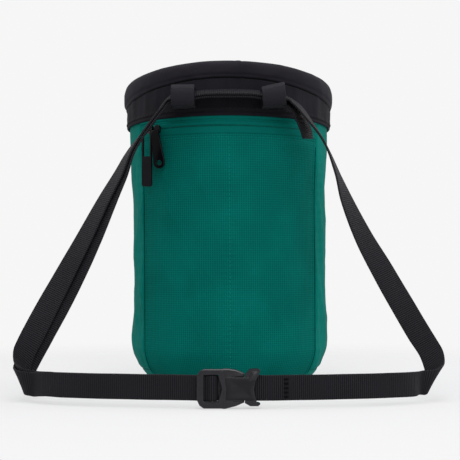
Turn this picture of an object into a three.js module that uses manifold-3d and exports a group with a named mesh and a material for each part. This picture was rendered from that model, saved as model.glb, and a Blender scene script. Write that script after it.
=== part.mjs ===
// A climbing chalk bag: a tall green cloth bucket with a black yoke and a padded rim, a zip pocket
// on the belt side, two webbing loops and a waist belt that is buckled and laid out in front.
// Millimetres, +Z up, the floor at z = 0, the bag's axis on Z and the belt side towards -Y.

import * as THREE from "three";
import { mergeVertices } from "three/addons/utils/BufferGeometryUtils.js";
import Module from "manifold-3d";

const wasm = await Module();
wasm.setup();

// Driving sizes of the bag
const clearance = 0.3; // kept between two pieces that touch
const bodyRadius = 67.4; // outside of the green cloth
const bodyFlare = 1.9; // how much wider the cloth is at the hem
const flareHeight = 120; // where the flare and the tilt of the mouth begin
const cornerInset = 24; // how far the bottom corner draws in
const cornerHeight = 28; // how high the bottom corner reaches
const cornerPower = 1.15; // of the corner's sine and cosine: 1 is an ellipse, more is more angular
const bodyWall = 2;
const panelWall = 1;
const yokeWall = 1.8;
const rimDepth = 10.5; // thickness of the padded rim, from inside to outside
const rimOverhang = 2.1; // how far the rim stands out past the yoke
const sideLean = -1.1; // sideways lean of the hem

// Level lines round the bag, each with its height at the belt side, at the sides and at the front
const hemLevel = { belt: 181.4, side: 178.5, front: 176.5 };
const seamLevel = { belt: 205.9, side: 190.1, front: 184 };
const crestLevel = { belt: 217.4, side: 206.6, front: 200 };
const flareLevel = { belt: flareHeight, side: flareHeight, front: flareHeight };

// Driving sizes of the zip pocket
const pocketHalfTurn = 57.5; // degrees from the belt side to each side seam
const panelFoot = 8; // height of the panel's lower edge
const zipStripHeight = 11; // from the panel's top edge to the hem
const zipDrop = 5.8; // from the hem down to the zip's slit
const zipGap = 1.4; // height of the slit
const zipGrooveDepth = 0.5;
const sliderLength = 5.5;
const sliderWidth = 4.6;
const sliderThickness = 2;
const plateTurn = -40.9; // degrees round the bag to the slider with the plate
const plateLength = 26;
const plateDrop = 0.8; // from the zip line down to the plate's upper edge
const plateTop = 5.2; // width at the slider
const plateBottom = 8;
const plateThickness = 1.4;
const plateYaw = -24; // degrees that the plate's face is turned from the belt side
const plateSwing = 9; // degrees that the plate hangs off the vertical
const tabTurn = -46.2; // degrees round the bag to the slider with the moulded tab
const tabLength = 38;
const tabGrip = 20; // length of the solid end of the tab
const tabWidth = 6.8;
const tabThickness = 2.2;
const tabYaw = -20;
const tabStrand = 0.9; // width of the two strands above the grip

// Driving sizes of the belt and its loops
const strapWidth = 15;
const strapThickness = 1.5;
const layerGap = 0.42; // between two layers of webbing that lie together
const loopStand = 22.4; // how far the loops stand out from the yoke
const loopHeight = 15.8;
const loopDrop = 6.3; // from the rim's seam at the belt side down to the loops' upper face
const loopTop = seamLevel.belt - loopDrop;
const loopCorner = 2.5;
const loops = [
  { name: "belt_loop_left", across: -30.3, yaw: -1, roll: 0 },
  { name: "belt_loop_right", across: 28.2, yaw: 1, roll: -5 },
];
const beltStand = 1.4; // from the yoke to the belt between the loops
const beltCurve = 0.8; // how much of the yoke's curve the belt follows, from 0 to 1
const beltRise = 0.9; // the belt's middle above the middle of the loops
const looseness = 2.4; // extra distance between the layers for each strap's width of slip
const tailSlack = 0.5; // extra distance between the layers at the tail's free end
const beltReach = 132; // from the axis to the folds at both sides
const beltFront = 147; // from the axis to the front run, at the buckle
const cornerFront = 110; // from the axis to the folds, front to back
const runHeight = 12; // height of the front run's middle
const runEnd = 4; // from the buckle to where the front run lies flat

// Driving sizes of the buckle
const buckleHeight = 23.4;
const buckleThickness = 7.5;
const frameLeft = -19.4; // left end of the ladder frame
const frameBar = 3.8; // width of the ladder frame's rounded end
const frameThickness = 3.2;
const windowHeight = 16.8; // clear height of the ladder window and of the male end's window
const windowRight = -5.4;
const sleeveRight = 8.4; // open end of the female part
const buttonRight = 17.8; // right end of the release buttons
const tongueHeight = 11;
const tongueThickness = 3.6;
const tongueLength = 9;
const facePlate = 1.8; // thickness of the male part's front plate
const ladderBarAt = -10.6;
const ladderBarRadius = 1.6; // the bar that the adjustable side turns round
const fixedBarAt = 13.4;
const fixedBarRadius = 1.4; // the bar that the sewn side turns round
const sewnLength = 18; // of the webbing that is folded back and sewn, from its bar
const sewnWrap = 118; // degrees where the webbing leaves the fixed bar, from its inner side
const ladderWrap = -172; // degrees where the webbing ends at the ladder bar
const frameBevel = 0.5;
const sleeveBevel = 0.6;
const slotHeight = 0.8; // of the two grooves that mark the release arms
const slotLength = 7;
const slotDepth = 2.4;
const slotStand = 1.6; // from the tongue's edge to the middle of each groove
const tongueRoot = 1.2; // thickness of the wall that carries the tongue
const buttonCorner = 1.2;
const buttonSlope = 3.2; // length of the slanted end of each button
const windowLip = 1.5; // thickness of the wall behind the window, beside the turned webbing
const lowerButton = 0.86; // reach of the lower button, in shares of the upper one's
const join = 1; // overlap of blocks that grow together

const degrees = Math.PI / 180;
const roundSteps = 56; // sides of the round pieces
const hemRadius = bodyRadius + bodyFlare;
const yokeRadius = hemRadius + clearance + yokeWall;
const layerPitch = strapThickness + layerGap;
const ladderTurn = ladderBarRadius + clearance + strapThickness / 2; // webbing's middle, from the bar
const fixedTurn = fixedBarRadius + clearance + strapThickness / 2;
const faceBack = -beltFront - buckleThickness / 2 + facePlate; // back of the male part's front plate
const fixedBarDepth = faceBack + 3 * clearance + strapThickness + fixedBarRadius;

const colours = {
  green: { color: 0x065e55, roughness: 0.75, metalness: 0 },
  yoke: { color: 0x1f1e22, roughness: 0.85, metalness: 0 },
  webbing: { color: 0x1d1c20, roughness: 0.7, metalness: 0 },
  plastic: { color: 0x222226, roughness: 0.4, metalness: 0 },
  gloss: { color: 0x151517, roughness: 0.2, metalness: 0 },
};

// Height of a level line at a turn round the bag; turn 0 is the belt side
function levelAt(level, turn) {
  const tilt = (level.belt - level.front) / 2;
  const cup = (level.belt + level.front) / 2 - level.side;
  return level.side + tilt * Math.cos(turn) + cup * Math.cos(turn) ** 2;
}

// True height of a point that is drawn at the sides' heights: it moves with the level lines
function raise(height, turn) {
  if (height <= flareHeight) {
    return height;
  }
  const levels = [flareLevel, hemLevel, seamLevel, crestLevel];
  const upper = Math.max(1, levels.findIndex((level) => height <= level.side));
  const high = height > crestLevel.side ? crestLevel : levels[upper];
  const low = height > crestLevel.side ? seamLevel : levels[upper - 1];
  const share = (height - low.side) / (high.side - low.side);
  return levelAt(low, turn) + share * (levelAt(high, turn) - levelAt(low, turn));
}

// Moves the points of a piece that was turned round the Z axis on to the tilted, leaning bag
function drape(geometry) {
  const place = geometry.attributes.position;
  for (let i = 0; i < place.count; i += 1) {
    const turn = Math.atan2(place.getX(i), -place.getY(i));
    const height = raise(place.getZ(i), turn);
    place.setX(i, place.getX(i) + sideLean * Math.min(1, height / hemLevel.side) ** 2);
    place.setZ(i, height);
  }
  return geometry;
}

// Radius of the green cloth above the bottom corner, with its flare towards the hem
function wallRadius(height) {
  const share = (height - flareHeight) / (hemLevel.side - flareHeight);
  return bodyRadius + bodyFlare * THREE.MathUtils.smoothstep(share, 0, 1);
}

// Points of the cloth's profile, set in by inset, from the foot height to the top height
function clothProfile(inset, foot, top, cornerSteps = 7, wallSteps = 9) {
  const points = [];
  for (let i = 0; i <= cornerSteps; i += 1) {
    const angle = (i / cornerSteps) * 90 * degrees;
    const outShare = Math.sin(angle) ** cornerPower;
    const upShare = Math.max(0, Math.cos(angle)) ** cornerPower;
    const out = bodyRadius - cornerInset + (cornerInset - inset) * outShare;
    const up = cornerHeight - (cornerHeight - inset) * upShare;
    if (up >= foot) {
      points.push(new THREE.Vector2(out, up));
    }
  }
  for (let i = 1; i <= wallSteps; i += 1) {
    const up = cornerHeight + ((top - cornerHeight) * i) / wallSteps;
    points.push(new THREE.Vector2(wallRadius(up) - inset, up));
  }
  return points;
}

// A closed profile turned round the Z axis, with its first point repeated at the end
function turned(points) {
  const profile = [...points, points[0].clone()];
  const geometry = new THREE.LatheGeometry(profile, roundSteps);
  geometry.rotateX(Math.PI / 2);
  return solidOf(geometry);
}

// A boolean solid from a closed geometry, with its doubled points joined
function solidOf(geometry) {
  const bare = geometry.clone();
  bare.deleteAttribute("normal");
  bare.deleteAttribute("uv");
  const merged = mergeVertices(bare, 1e-4);
  const index = Array.from(merged.index.array);
  const kept = [];
  for (let i = 0; i < index.length; i += 3) {
    const [a, b, c] = index.slice(i, i + 3);
    if (a !== b && b !== c && c !== a) {
      kept.push(a, b, c);
    }
  }
  const solid = new wasm.Manifold(
    new wasm.Mesh({
      numProp: 3,
      vertProperties: new Float32Array(merged.attributes.position.array),
      triVerts: new Uint32Array(kept),
    }),
  );
  return solid.volume() < 0 ? solidOf(flipped(bare)) : solid;
}

// The same geometry with its faces turned the other way
function flipped(geometry) {
  const loose = geometry.index ? geometry.toNonIndexed() : geometry.clone();
  const place = loose.attributes.position;
  for (let i = 0; i < place.count; i += 3) {
    const second = new THREE.Vector3().fromBufferAttribute(place, i + 1);
    const third = new THREE.Vector3().fromBufferAttribute(place, i + 2);
    place.setXYZ(i + 1, third.x, third.y, third.z);
    place.setXYZ(i + 2, second.x, second.y, second.z);
  }
  return loose;
}

// A geometry from a boolean solid
function geometryOf(solid) {
  const mesh = solid.getMesh();
  const geometry = new THREE.BufferGeometry();
  const numbers = new Float32Array(mesh.vertProperties);
  geometry.setAttribute("position", new THREE.BufferAttribute(numbers, 3));
  geometry.setIndex(Array.from(mesh.triVerts));
  geometry.computeVertexNormals();
  return geometry;
}

const bag = new THREE.Group();
bag.name = "chalk_bag";

// Adds one named piece to the bag
function addPiece(name, geometry, colour) {
  const material = new THREE.MeshStandardMaterial(colours[colour]);
  const mesh = new THREE.Mesh(geometry, material);
  mesh.name = name;
  bag.add(mesh);
}

// The green bag: a cup with a flat bottom, its outside, its top edge and its inside in one profile
function bagShell() {
  const top = seamLevel.side - clearance;
  const outside = clothProfile(0, 0, top);
  const inside = clothProfile(bodyWall, 0, top, 5, 4).reverse();
  const profile = [new THREE.Vector2(0, 0), ...outside, ...inside, new THREE.Vector2(0, bodyWall)];
  return drape(geometryOf(turned(profile)));
}

// A band that lies on the green cloth, between two heights
function band(foot, top, thickness) {
  const under = clothProfile(-clearance, foot, top);
  const over = clothProfile(-clearance - thickness, foot, top).reverse();
  return turned([...under, ...over]);
}

// A tall wedge from the axis, half a turn to each side of the belt side
function wedge(halfTurn) {
  const reach = 3 * bodyRadius;
  const shape = new THREE.Shape();
  shape.moveTo(0, 0);
  shape.lineTo(reach * Math.sin(halfTurn), -reach * Math.cos(halfTurn));
  shape.lineTo(0, -reach);
  shape.lineTo(-reach * Math.sin(halfTurn), -reach * Math.cos(halfTurn));
  const height = 2 * crestLevel.belt;
  const geometry = new THREE.ExtrudeGeometry(shape, { depth: height, bevelEnabled: false });
  return solidOf(geometry.translate(0, 0, -cornerHeight));
}

const stripTop = hemLevel.side - clearance;
const panelTop = hemLevel.side - zipStripHeight;

// The ripstop panel of the pocket, from near the floor up to the zip strip
function pocketPanel() {
  const panel = band(panelFoot, panelTop, panelWall);
  return drape(geometryOf(panel.intersect(wedge(pocketHalfTurn * degrees))));
}

// The strip under the hem with the groove that the zip lies in
function zipStrip() {
  const foot = panelTop + clearance;
  const slit = hemLevel.side - zipDrop;
  const rows = [
    { up: foot, sunk: 0 },
    { up: slit - zipGap, sunk: 0 },
    { up: slit - zipGap / 2, sunk: zipGrooveDepth },
    { up: slit + zipGap / 2, sunk: zipGrooveDepth },
    { up: slit + zipGap, sunk: 0 },
    { up: stripTop, sunk: 0 },
  ];
  const over = rows.map(
    (row) => new THREE.Vector2(wallRadius(row.up) + clearance + panelWall - row.sunk, row.up),
  );
  const under = [stripTop, foot].map((up) => new THREE.Vector2(wallRadius(up) + clearance, up));
  const strip = turned([...over, ...under]);
  return drape(geometryOf(strip.intersect(wedge(pocketHalfTurn * degrees))));
}

// The black yoke, with a rounded hem, from the hem line to the rim's seam
function yokeBand() {
  const foot = hemLevel.side;
  const top = seamLevel.side - clearance;
  const inside = hemRadius + clearance;
  const round = yokeWall / 3;
  const profile = [
    new THREE.Vector2(inside, foot + round),
    new THREE.Vector2(inside + round, foot),
    new THREE.Vector2(yokeRadius - round, foot),
    new THREE.Vector2(yokeRadius, foot + round),
    new THREE.Vector2(yokeRadius - round / 2, (foot + top) / 2),
    new THREE.Vector2(yokeRadius, top),
    new THREE.Vector2(inside, top),
    new THREE.Vector2(inside, (foot + top) / 2),
  ];
  return drape(geometryOf(turned(profile)));
}

// The padded rim: an egg-shaped roll, widest above its middle, that closes over both top edges
function rimRoll() {
  const foot = seamLevel.side;
  const middle = (foot + crestLevel.side) / 2;
  const halfHeight = (crestLevel.side - foot) / 2;
  const outerRadius = yokeRadius + rimOverhang;
  const centre = outerRadius - rimDepth / 2;
  const steps = 14;
  const boxiness = 0.8;
  const topHeavy = 0.08;
  const profile = [];
  for (let i = 0; i < steps; i += 1) {
    const angle = (2 * Math.PI * i) / steps;
    const up = Math.sign(Math.sin(angle)) * Math.abs(Math.sin(angle)) ** boxiness;
    const side = Math.sign(Math.cos(angle)) * Math.abs(Math.cos(angle)) ** boxiness;
    const swell = (1 + topHeavy * up) / (1 + topHeavy / 2);
    profile.push(
      new THREE.Vector2(centre + (rimDepth / 2) * side * swell, middle + halfHeight * up),
    );
  }
  return drape(geometryOf(turned(profile)));
}

// A rounded rectangle, from its lower left corner
function roundedRectangle(left, foot, width, height, radius) {
  const shape = new THREE.Shape();
  const right = left + width;
  const top = foot + height;
  const quarter = Math.PI / 2;
  shape.absarc(right - radius, foot + radius, radius, -quarter, 0);
  shape.absarc(right - radius, top - radius, radius, 0, quarter);
  shape.absarc(left + radius, top - radius, radius, quarter, 2 * quarter);
  shape.absarc(left + radius, foot + radius, radius, 2 * quarter, 3 * quarter);
  return shape;
}

// A block under the rim with rounded edges along X, from the axis out to the given reach
function loopBlock(reach, foot, height, radius) {
  const shape = roundedRectangle(0, foot, reach, height, radius);
  const options = { depth: 1, bevelEnabled: false, curveSegments: 4 };
  const geometry = new THREE.ExtrudeGeometry(shape, options);
  geometry.translate(0, 0, -0.5);
  geometry.rotateX(Math.PI / 2);
  geometry.rotateZ(-Math.PI / 2);
  return geometry;
}

// A solid drum that stands for the yoke, larger by the given margin
function yokeDrum(margin) {
  const points = [
    new THREE.Vector2(0, flareHeight),
    new THREE.Vector2(yokeRadius + margin, flareHeight),
    new THREE.Vector2(yokeRadius + margin, crestLevel.side),
    new THREE.Vector2(0, crestLevel.side),
  ];
  return solidOf(drape(geometryOf(turned(points))));
}

// A webbing loop: a hoop that stands out from the yoke, its back leg flat on the yoke's curve
function beltLoop(loop) {
  const reach = Math.sqrt(yokeRadius ** 2 - loop.across ** 2) + loopStand;
  const foot = loopTop - loopHeight;
  const outer = loopBlock(reach, foot, loopHeight, loopCorner);
  const inner = loopBlock(
    reach - strapThickness,
    foot + strapThickness,
    loopHeight - 2 * strapThickness,
    loopCorner - strapThickness / 2,
  );
  outer.scale(strapWidth, 1, 1);
  inner.scale(2 * strapWidth, 1, 1);
  for (const geometry of [outer, inner]) {
    geometry.translate(0, reach, 0);
    geometry.rotateZ(loop.yaw * degrees);
    geometry.translate(0, -reach, -loopTop);
    geometry.rotateY(loop.roll * degrees);
    geometry.translate(loop.across, 0, loopTop);
  }
  const hollow = solidOf(inner).subtract(yokeDrum(clearance + strapThickness));
  return geometryOf(solidOf(outer).subtract(yokeDrum(clearance)).subtract(hollow));
}

// One cross section of the belt. Across points from the webbing's far edge to its near edge.
function station(centre, across, stretch = 1) {
  return { centre, across: across.clone().normalize(), stretch };
}

const loopMiddle = loopTop - loopHeight / 2 + beltRise;
const foldDepth = 0.4 * strapWidth; // from the folds' outermost point back to the risers

// How far in front of the axis the belt's middle passes the yoke, at a place across the bag
function beltDepthAt(across) {
  const hug = yokeRadius + strapWidth / 2 + beltStand;
  return Math.sqrt(hug ** 2 - (beltCurve * across) ** 2);
}

// The belt from the middle between the loops out through one loop, on the left side.
// Twist is the turn in degrees of the near edge, from straight at the viewer to the inside.
const loopRows = [
  { along: 0, up: 0.13, twist: 18 },
  { along: 0.08, up: 0.13, twist: 18 },
  { along: 0.55, up: 0.06, twist: 20 },
  { along: 1, up: 0, twist: 21 },
  { along: 1.3, up: -0.02, twist: 15 },
];

// The belt from a loop down to the fold. Down is the share of the way, bow is the outward shift in
// shares of the strap's width, and slip is how far the tail lies to the inside, in the same shares.
const leftRiser = [
  { down: 0.05, bow: 0.13, twist: 8, slip: 0 },
  { down: 0.104, bow: 0.24, twist: 6, slip: 0.02 },
  { down: 0.208, bow: 0.42, twist: 14, slip: 0.07 },
  { down: 0.291, bow: 0.38, twist: 26, slip: 0.19 },
  { down: 0.38, bow: 0.4, twist: 34, slip: 0.3 },
  { down: 0.506, bow: 0.37, twist: 46, slip: 0.36 },
  { down: 0.632, bow: 0.36, twist: 58, slip: 0.38 },
  { down: 0.757, bow: 0.36, twist: 72, slip: 0.36 },
  { down: 0.845, bow: 0.35, twist: 82, slip: 0.32 },
];
const rightRiser = [
  { down: 0.035, bow: 0.24, twist: 22 },
  { down: 0.098, bow: 0.39, twist: 15 },
  { down: 0.187, bow: 0.5, twist: 5 },
  { down: 0.291, bow: 0.34, twist: 16 },
  { down: 0.37, bow: 0.16, twist: 32 },
  { down: 0.492, bow: 0.02, twist: 52 },
  { down: 0.619, bow: 0.03, twist: 72 },
  { down: 0.746, bow: 0.06, twist: 84 },
  { down: 0.84, bow: 0.1, twist: 88 },
];

// The tail's free end, past the right loop: shares of the strap's width from the loop's exit, with
// how far the webbing points downwards, in degrees
const tailRows = [
  { out: 0.21, drop: 0.1, dive: 8, twist: 15 },
  { out: 0.56, drop: 0.64, dive: 56, twist: 14 },
  { out: 0.68, drop: 0.98, dive: 62, twist: 30 },
  { out: 0.95, drop: 1.32, dive: 66, twist: 30 },
  { out: 1.03, drop: 1.74, dive: 84, twist: 24 },
];

// The fold at the floor: places in shares of the strap's width from the fold's outermost point,
// with the lean of the webbing's cross section from level, in degrees, and its stretch
const leftFold = [
  { inward: 0.22, back: 0.56, up: 1.1, lean: 38, stretch: 1, slip: 0.3 },
  { inward: 0.14, back: 0.36, up: 0.55, lean: 52, stretch: 1.06, slip: 0.22 },
  { inward: 0.21, back: 0.02, up: 0.16, lean: 68, stretch: 1.12, slip: 0.14 },
  { inward: 0.42, back: -0.2, up: 0.02, lean: 78, stretch: 1.06, slip: 0.1 },
  { inward: 0.8, back: -0.3, up: 0, lean: 86, stretch: 1, slip: 0.06 },
];
const rightFold = [
  { inward: 0.42, back: 0.56, up: 1.1, lean: 32, stretch: 1 },
  { inward: 0.3, back: 0.36, up: 0.6, lean: 44, stretch: 1.08 },
  { inward: 0.36, back: 0.02, up: 0.2, lean: 56, stretch: 1.18 },
  { inward: 0.58, back: -0.22, up: 0.02, lean: 70, stretch: 1.1 },
  { inward: 0.98, back: -0.32, up: 0, lean: 84, stretch: 1 },
];

// The front run, from the fold to the buckle: shares of the half width and of the bulge forward
const frontRows = [
  { across: 0.85, forward: 0.36 },
  { across: 0.76, forward: 0.54 },
  { across: 0.57, forward: 0.74 },
  { across: 0.36, forward: 0.9 },
  { across: 0.22, forward: 0.98 },
];

const levelWeb = new THREE.Vector3(0, 0, -1); // near edge down: the webbing stands on its edge

// Stations from the middle of the bag out through one loop, drawn on the left
function loopStations(loopAcross) {
  return loopRows.map((row) => {
    const across = row.along * loopAcross + (row.along === 0 ? clearance / 2 : 0);
    const up = loopMiddle + row.up * strapWidth;
    const centre = new THREE.Vector3(-across, -beltDepthAt(across), up);
    return station(centre, leaning(new THREE.Vector3(-1, 0, 0), row.twist));
  });
}

// Stations of half the belt, drawn on the left: from the middle of the bag to the buckle
function beltStations(riser, fold, loopAcross, endDepth) {
  const list = loopStations(loopAcross);
  const exit = list[list.length - 1].centre;
  const corner = new THREE.Vector3(-beltReach, -cornerFront + foldDepth, runHeight);
  const slope = corner.clone().sub(exit).normalize();
  const outward = new THREE.Vector3(slope.z, 0, -slope.x).normalize();
  for (const row of riser) {
    const centre = exit.clone().lerp(corner, row.down);
    centre.addScaledVector(outward, row.bow * strapWidth);
    list.push(station(centre, leaning(slope, row.twist)));
  }
  for (const row of fold) {
    const centre = new THREE.Vector3(
      -beltReach + row.inward * strapWidth,
      -cornerFront + row.back * strapWidth,
      runHeight + row.up * strapWidth,
    );
    const lean = row.lean * degrees;
    const across = new THREE.Vector3(Math.cos(lean), 0, -Math.sin(lean));
    list.push(station(centre, across, row.stretch));
  }
  for (const row of frontRows) {
    const depth = THREE.MathUtils.lerp(-cornerFront, endDepth, row.forward);
    list.push(station(new THREE.Vector3(-row.across * beltReach, depth, runHeight), levelWeb));
  }
  return list;
}

// Stations round a bar of the buckle, from behind it to its front and back to its outer side
function barStations(barAt, barDepth, radius, fromAngle, toAngle) {
  const steps = 7;
  const list = [];
  for (let i = 0; i <= steps; i += 1) {
    const angle = (fromAngle + ((toAngle - fromAngle) * i) / steps) * degrees;
    const across = barAt + radius * Math.cos(angle);
    const depth = barDepth + radius * Math.sin(angle);
    list.push(station(new THREE.Vector3(across, depth, runHeight), levelWeb));
  }
  return list;
}

// Stations of the tail's free end past the right loop, drawn on the left
function tailStations(loopAcross) {
  const list = loopStations(loopAcross).slice(0, -1);
  const exit = loopStations(loopAcross).pop().centre;
  for (const row of tailRows) {
    const across = exit.x - row.out * strapWidth;
    const up = exit.z - row.drop * strapWidth;
    const dive = row.dive * degrees;
    const heading = new THREE.Vector3(-Math.cos(dive), 0, -Math.sin(dive));
    list.push(station(new THREE.Vector3(across, exit.y, up), leaning(heading, row.twist)));
  }
  return list;
}

// The direction of the near edge for a webbing that runs along heading, turned by twist degrees
function leaning(heading, twist) {
  const near = new THREE.Vector3(0, -1, 0).addScaledVector(heading, heading.y).normalize();
  const inside = new THREE.Vector3().crossVectors(near, heading).normalize();
  const angle = twist * degrees;
  return near.multiplyScalar(Math.cos(angle)).addScaledVector(inside, Math.sin(angle));
}

// Bends a thin box along stations. Rests hold how far each section lies off the middle of the
// webbing, as lift in millimetres and as slip sideways in shares of the width.
function ribbon(stations, { rests = [], mirrored = false } = {}) {
  const stepsEach = 4;
  const centres = new THREE.CatmullRomCurve3(stations.map((each) => each.centre));
  const edges = new THREE.CatmullRomCurve3(stations.map((each) => each.across));
  const sides = new THREE.CatmullRomCurve3(
    stations.map((each, i) => {
      const rest = rests[i] ?? { lift: 0, slip: 0 };
      return new THREE.Vector3(each.stretch, rest.slip, rest.lift);
    }),
  );
  const steps = (stations.length - 1) * stepsEach;
  const geometry = new THREE.BoxGeometry(1, 1, 1, 1, 1, steps);
  const place = geometry.attributes.position;
  for (let i = 0; i < place.count; i += 1) {
    const share = place.getZ(i) + 0.5;
    const point = centres.getPoint(share);
    const across = edges.getPoint(share).normalize();
    const face = new THREE.Vector3().crossVectors(centres.getTangent(share), across).normalize();
    const side = sides.getPoint(share);
    point.addScaledVector(across, (place.getX(i) * side.x + side.y) * strapWidth);
    point.addScaledVector(face, side.z + place.getY(i) * strapThickness);
    place.setXYZ(i, mirrored ? -point.x : point.x, point.y, point.z);
  }
  return geometryOf(solidOf(geometry));
}

// The zip's sliders and pulls are drawn upright, facing the belt side, and turned round the bag

// A flat outline pushed out to a thickness, standing upright with its face towards the belt side
function upright(shape, thickness, bevel = 0) {
  const geometry = new THREE.ExtrudeGeometry(shape, {
    depth: thickness - 2 * bevel,
    bevelEnabled: bevel > 0,
    bevelThickness: bevel,
    bevelSize: bevel,
    bevelOffset: -bevel,
    bevelSegments: 1,
    curveSegments: 3,
  });
  geometry.translate(0, 0, bevel);
  return geometry.rotateX(Math.PI / 2);
}

const zipFace = hemRadius + clearance + panelWall; // radius of the strip's outside near the hem
const zipLine = raise(hemLevel.side - zipDrop, pocketHalfTurn * degrees);

// Places a piece drawn at the zip line, at a turn round the bag, a way off the cloth
function atZip(geometry, turn, off) {
  const radius = zipFace + off;
  const lean = sideLean * (zipLine / hemLevel.side) ** 2;
  const across = radius * Math.sin(turn * degrees) + lean;
  return geometry.translate(across, -radius * Math.cos(turn * degrees), zipLine);
}

// A zip slider, rounded and flat on the strip
function zipSlider(turn) {
  const shape = roundedRectangle(
    -sliderWidth / 2,
    -sliderLength / 2,
    sliderWidth,
    sliderLength,
    sliderWidth / 3,
  );
  const geometry = upright(shape, sliderThickness);
  geometry.rotateZ(turn * degrees);
  return atZip(geometry, turn, clearance);
}

// The glossy pull: a plate that widens downwards, with an open end
function pullPlate() {
  const shape = new THREE.Shape();
  const lower = plateBottom / 2;
  shape.moveTo(-plateTop / 2, 0);
  shape.lineTo(-lower, -plateLength + lower);
  shape.absarc(0, -plateLength + lower, lower, Math.PI, 2 * Math.PI);
  shape.lineTo(plateTop / 2, 0);
  const hole = new THREE.Path();
  hole.absarc(0, -plateLength + lower, lower / 2, 0, 2 * Math.PI, true);
  shape.holes.push(hole);
  const geometry = upright(shape, plateThickness);
  geometry.rotateY(-plateSwing * degrees);
  geometry.rotateZ(plateYaw * degrees);
  geometry.translate(0, 0, -plateDrop);
  return atZip(geometry, plateTurn, sliderThickness + 5 * clearance);
}

// The moulded tab: a solid grip that hangs on two strands
function pullTab() {
  const shape = roundedRectangle(-tabWidth / 2, -tabLength, tabWidth, tabLength, tabWidth / 4);
  const hole = roundedRectangle(
    tabStrand - tabWidth / 2,
    tabGrip - tabLength,
    tabWidth - 2 * tabStrand,
    tabLength - tabGrip - tabStrand,
    tabStrand / 2,
  );
  shape.holes.push(new THREE.Path(hole.getPoints(4).reverse()));
  const geometry = upright(shape, tabThickness);
  geometry.rotateZ(tabYaw * degrees);
  return atZip(geometry, tabTurn, sliderThickness + 6 * clearance);
}

// Buckle outlines are drawn from the front, with their middle at the buckle's middle

const buckleMiddle = buckleHeight / 2;

// An outline from corner points, pushed out from the back depth to the front depth
function buckleBlock(corners, back, front, bevel = 0) {
  const shape = new THREE.Shape(corners.map(([across, up]) => new THREE.Vector2(across, up)));
  const geometry = upright(shape, front - back, bevel);
  return solidOf(geometry.translate(0, -beltFront - back, buckleMiddle));
}

// A rectangle's corners, from its left and right ends and its half height
function bar(left, right, half) {
  return [[left, -half], [right, -half], [right, half], [left, half]];
}

// Corners of an outline's table, drawn inward from an end that looks left (-1) or right (1)
function outline(rows, end, side, half) {
  const corners = rows.map((row) => [end - side * row.inward * buckleMiddle, row.up * half]);
  return side > 0 ? corners.reverse() : corners;
}

// A round bar of the buckle, upright between its rails
function buckleBar(at, depth, radius) {
  const length = windowHeight + 2 * join;
  const geometry = new THREE.CylinderGeometry(radius, radius, length, 12);
  geometry.rotateX(Math.PI / 2);
  return solidOf(geometry.translate(at, depth, buckleMiddle));
}

const buckleHalf = buckleThickness / 2;
const windowHalf = windowHeight / 2;

// Outlines of the buckle, with the distance inward from an end in shares of half the buckle's
// height, and the height above the middle in shares of the outline's own half height
const frameOutline = [
  { inward: 0, up: -0.57 },
  { inward: 0.13, up: -0.84 },
  { inward: 0.34, up: -0.98 },
  { inward: 1.37, up: -0.98 },
  { inward: 1.37, up: 0.98 },
  { inward: 0.34, up: 0.98 },
  { inward: 0.13, up: 0.88 },
  { inward: 0, up: 0.64 },
];
const windowOutline = [
  { inward: 0.33, up: -1 },
  { inward: 1.07, up: -1 },
  { inward: 1.27, up: 0 },
  { inward: 1.07, up: 1 },
  { inward: 0.33, up: 1 },
];
const sleeveOutline = [
  { inward: 0, up: -0.68 },
  { inward: 0.42, up: -0.86 },
  { inward: 0.97, up: -1 },
  { inward: 1.09, up: -1 },
  { inward: 1.09, up: 1 },
  { inward: 0.8, up: 1 },
  { inward: 0.42, up: 0.94 },
  { inward: 0, up: 0.78 },
];
const plateOutline = [
  { inward: 0.16, up: -1 },
  { inward: 0.778, up: -1 },
  { inward: 0.778, up: 1 },
  { inward: 0.06, up: 1 },
  { inward: 0.13, up: 0.86 },
  { inward: 0.25, up: 0.52 },
  { inward: 0.33, up: -0.05 },
  { inward: 0.25, up: -0.62 },
];

// The female part: the rounded ladder frame with its bar, and the sleeve for the tongue
function buckleFemale() {
  const frameBack = buckleHalf - frameThickness;
  const frame = buckleBlock(
    outline(frameOutline, frameLeft, -1, buckleMiddle),
    frameBack,
    buckleHalf,
    frameBevel,
  );
  const sleeve = buckleBlock(
    outline(sleeveOutline, sleeveRight, 1, buckleMiddle),
    -buckleHalf,
    buckleHalf,
    sleeveBevel,
  );
  const window = outline(windowOutline, frameLeft, -1, windowHalf);
  let solid = frame.add(sleeve);
  solid = solid.subtract(buckleBlock(window, -buckleThickness, buckleThickness));
  for (const side of [-1, 1]) {
    const strapEdge = side * (strapWidth / 2 + clearance) + runHeight - buckleMiddle;
    const edges = [strapEdge, side * frameOutline[4].up * buckleMiddle];
    const low = Math.min(...edges);
    const high = Math.max(...edges);
    const left = frameLeft + windowOutline[0].inward * buckleMiddle;
    const right = windowRight + join;
    const rail = [[left, low], [right, low], [right, high], [left, high]];
    solid = solid.add(buckleBlock(rail, -ladderBarRadius, frameBack + join));
    const slotAt = side * (tongueHeight / 2 + slotStand);
    const slot = bar(sleeveRight - slotLength, sleeveRight + join, slotHeight / 2);
    const corners = slot.map(([across, up]) => [across, up + slotAt]);
    solid = solid.subtract(buckleBlock(corners, buckleHalf - slotDepth, buckleThickness));
  }
  const lipLeft = ladderBarAt + ladderTurn + strapThickness / 2 + clearance;
  const lip = bar(lipLeft, sleeveRight - tongueLength - join, windowHalf + join);
  solid = solid.add(buckleBlock(lip, -buckleHalf, windowLip - buckleHalf));
  const pocket = buckleBlock(
    bar(sleeveRight - tongueLength, sleeveRight + join, tongueHeight / 2),
    -tongueThickness / 2,
    tongueThickness / 2,
  );
  const ladderBar = buckleBar(ladderBarAt, -beltFront, ladderBarRadius);
  return geometryOf(solid.add(ladderBar).subtract(pocket));
}

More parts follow.
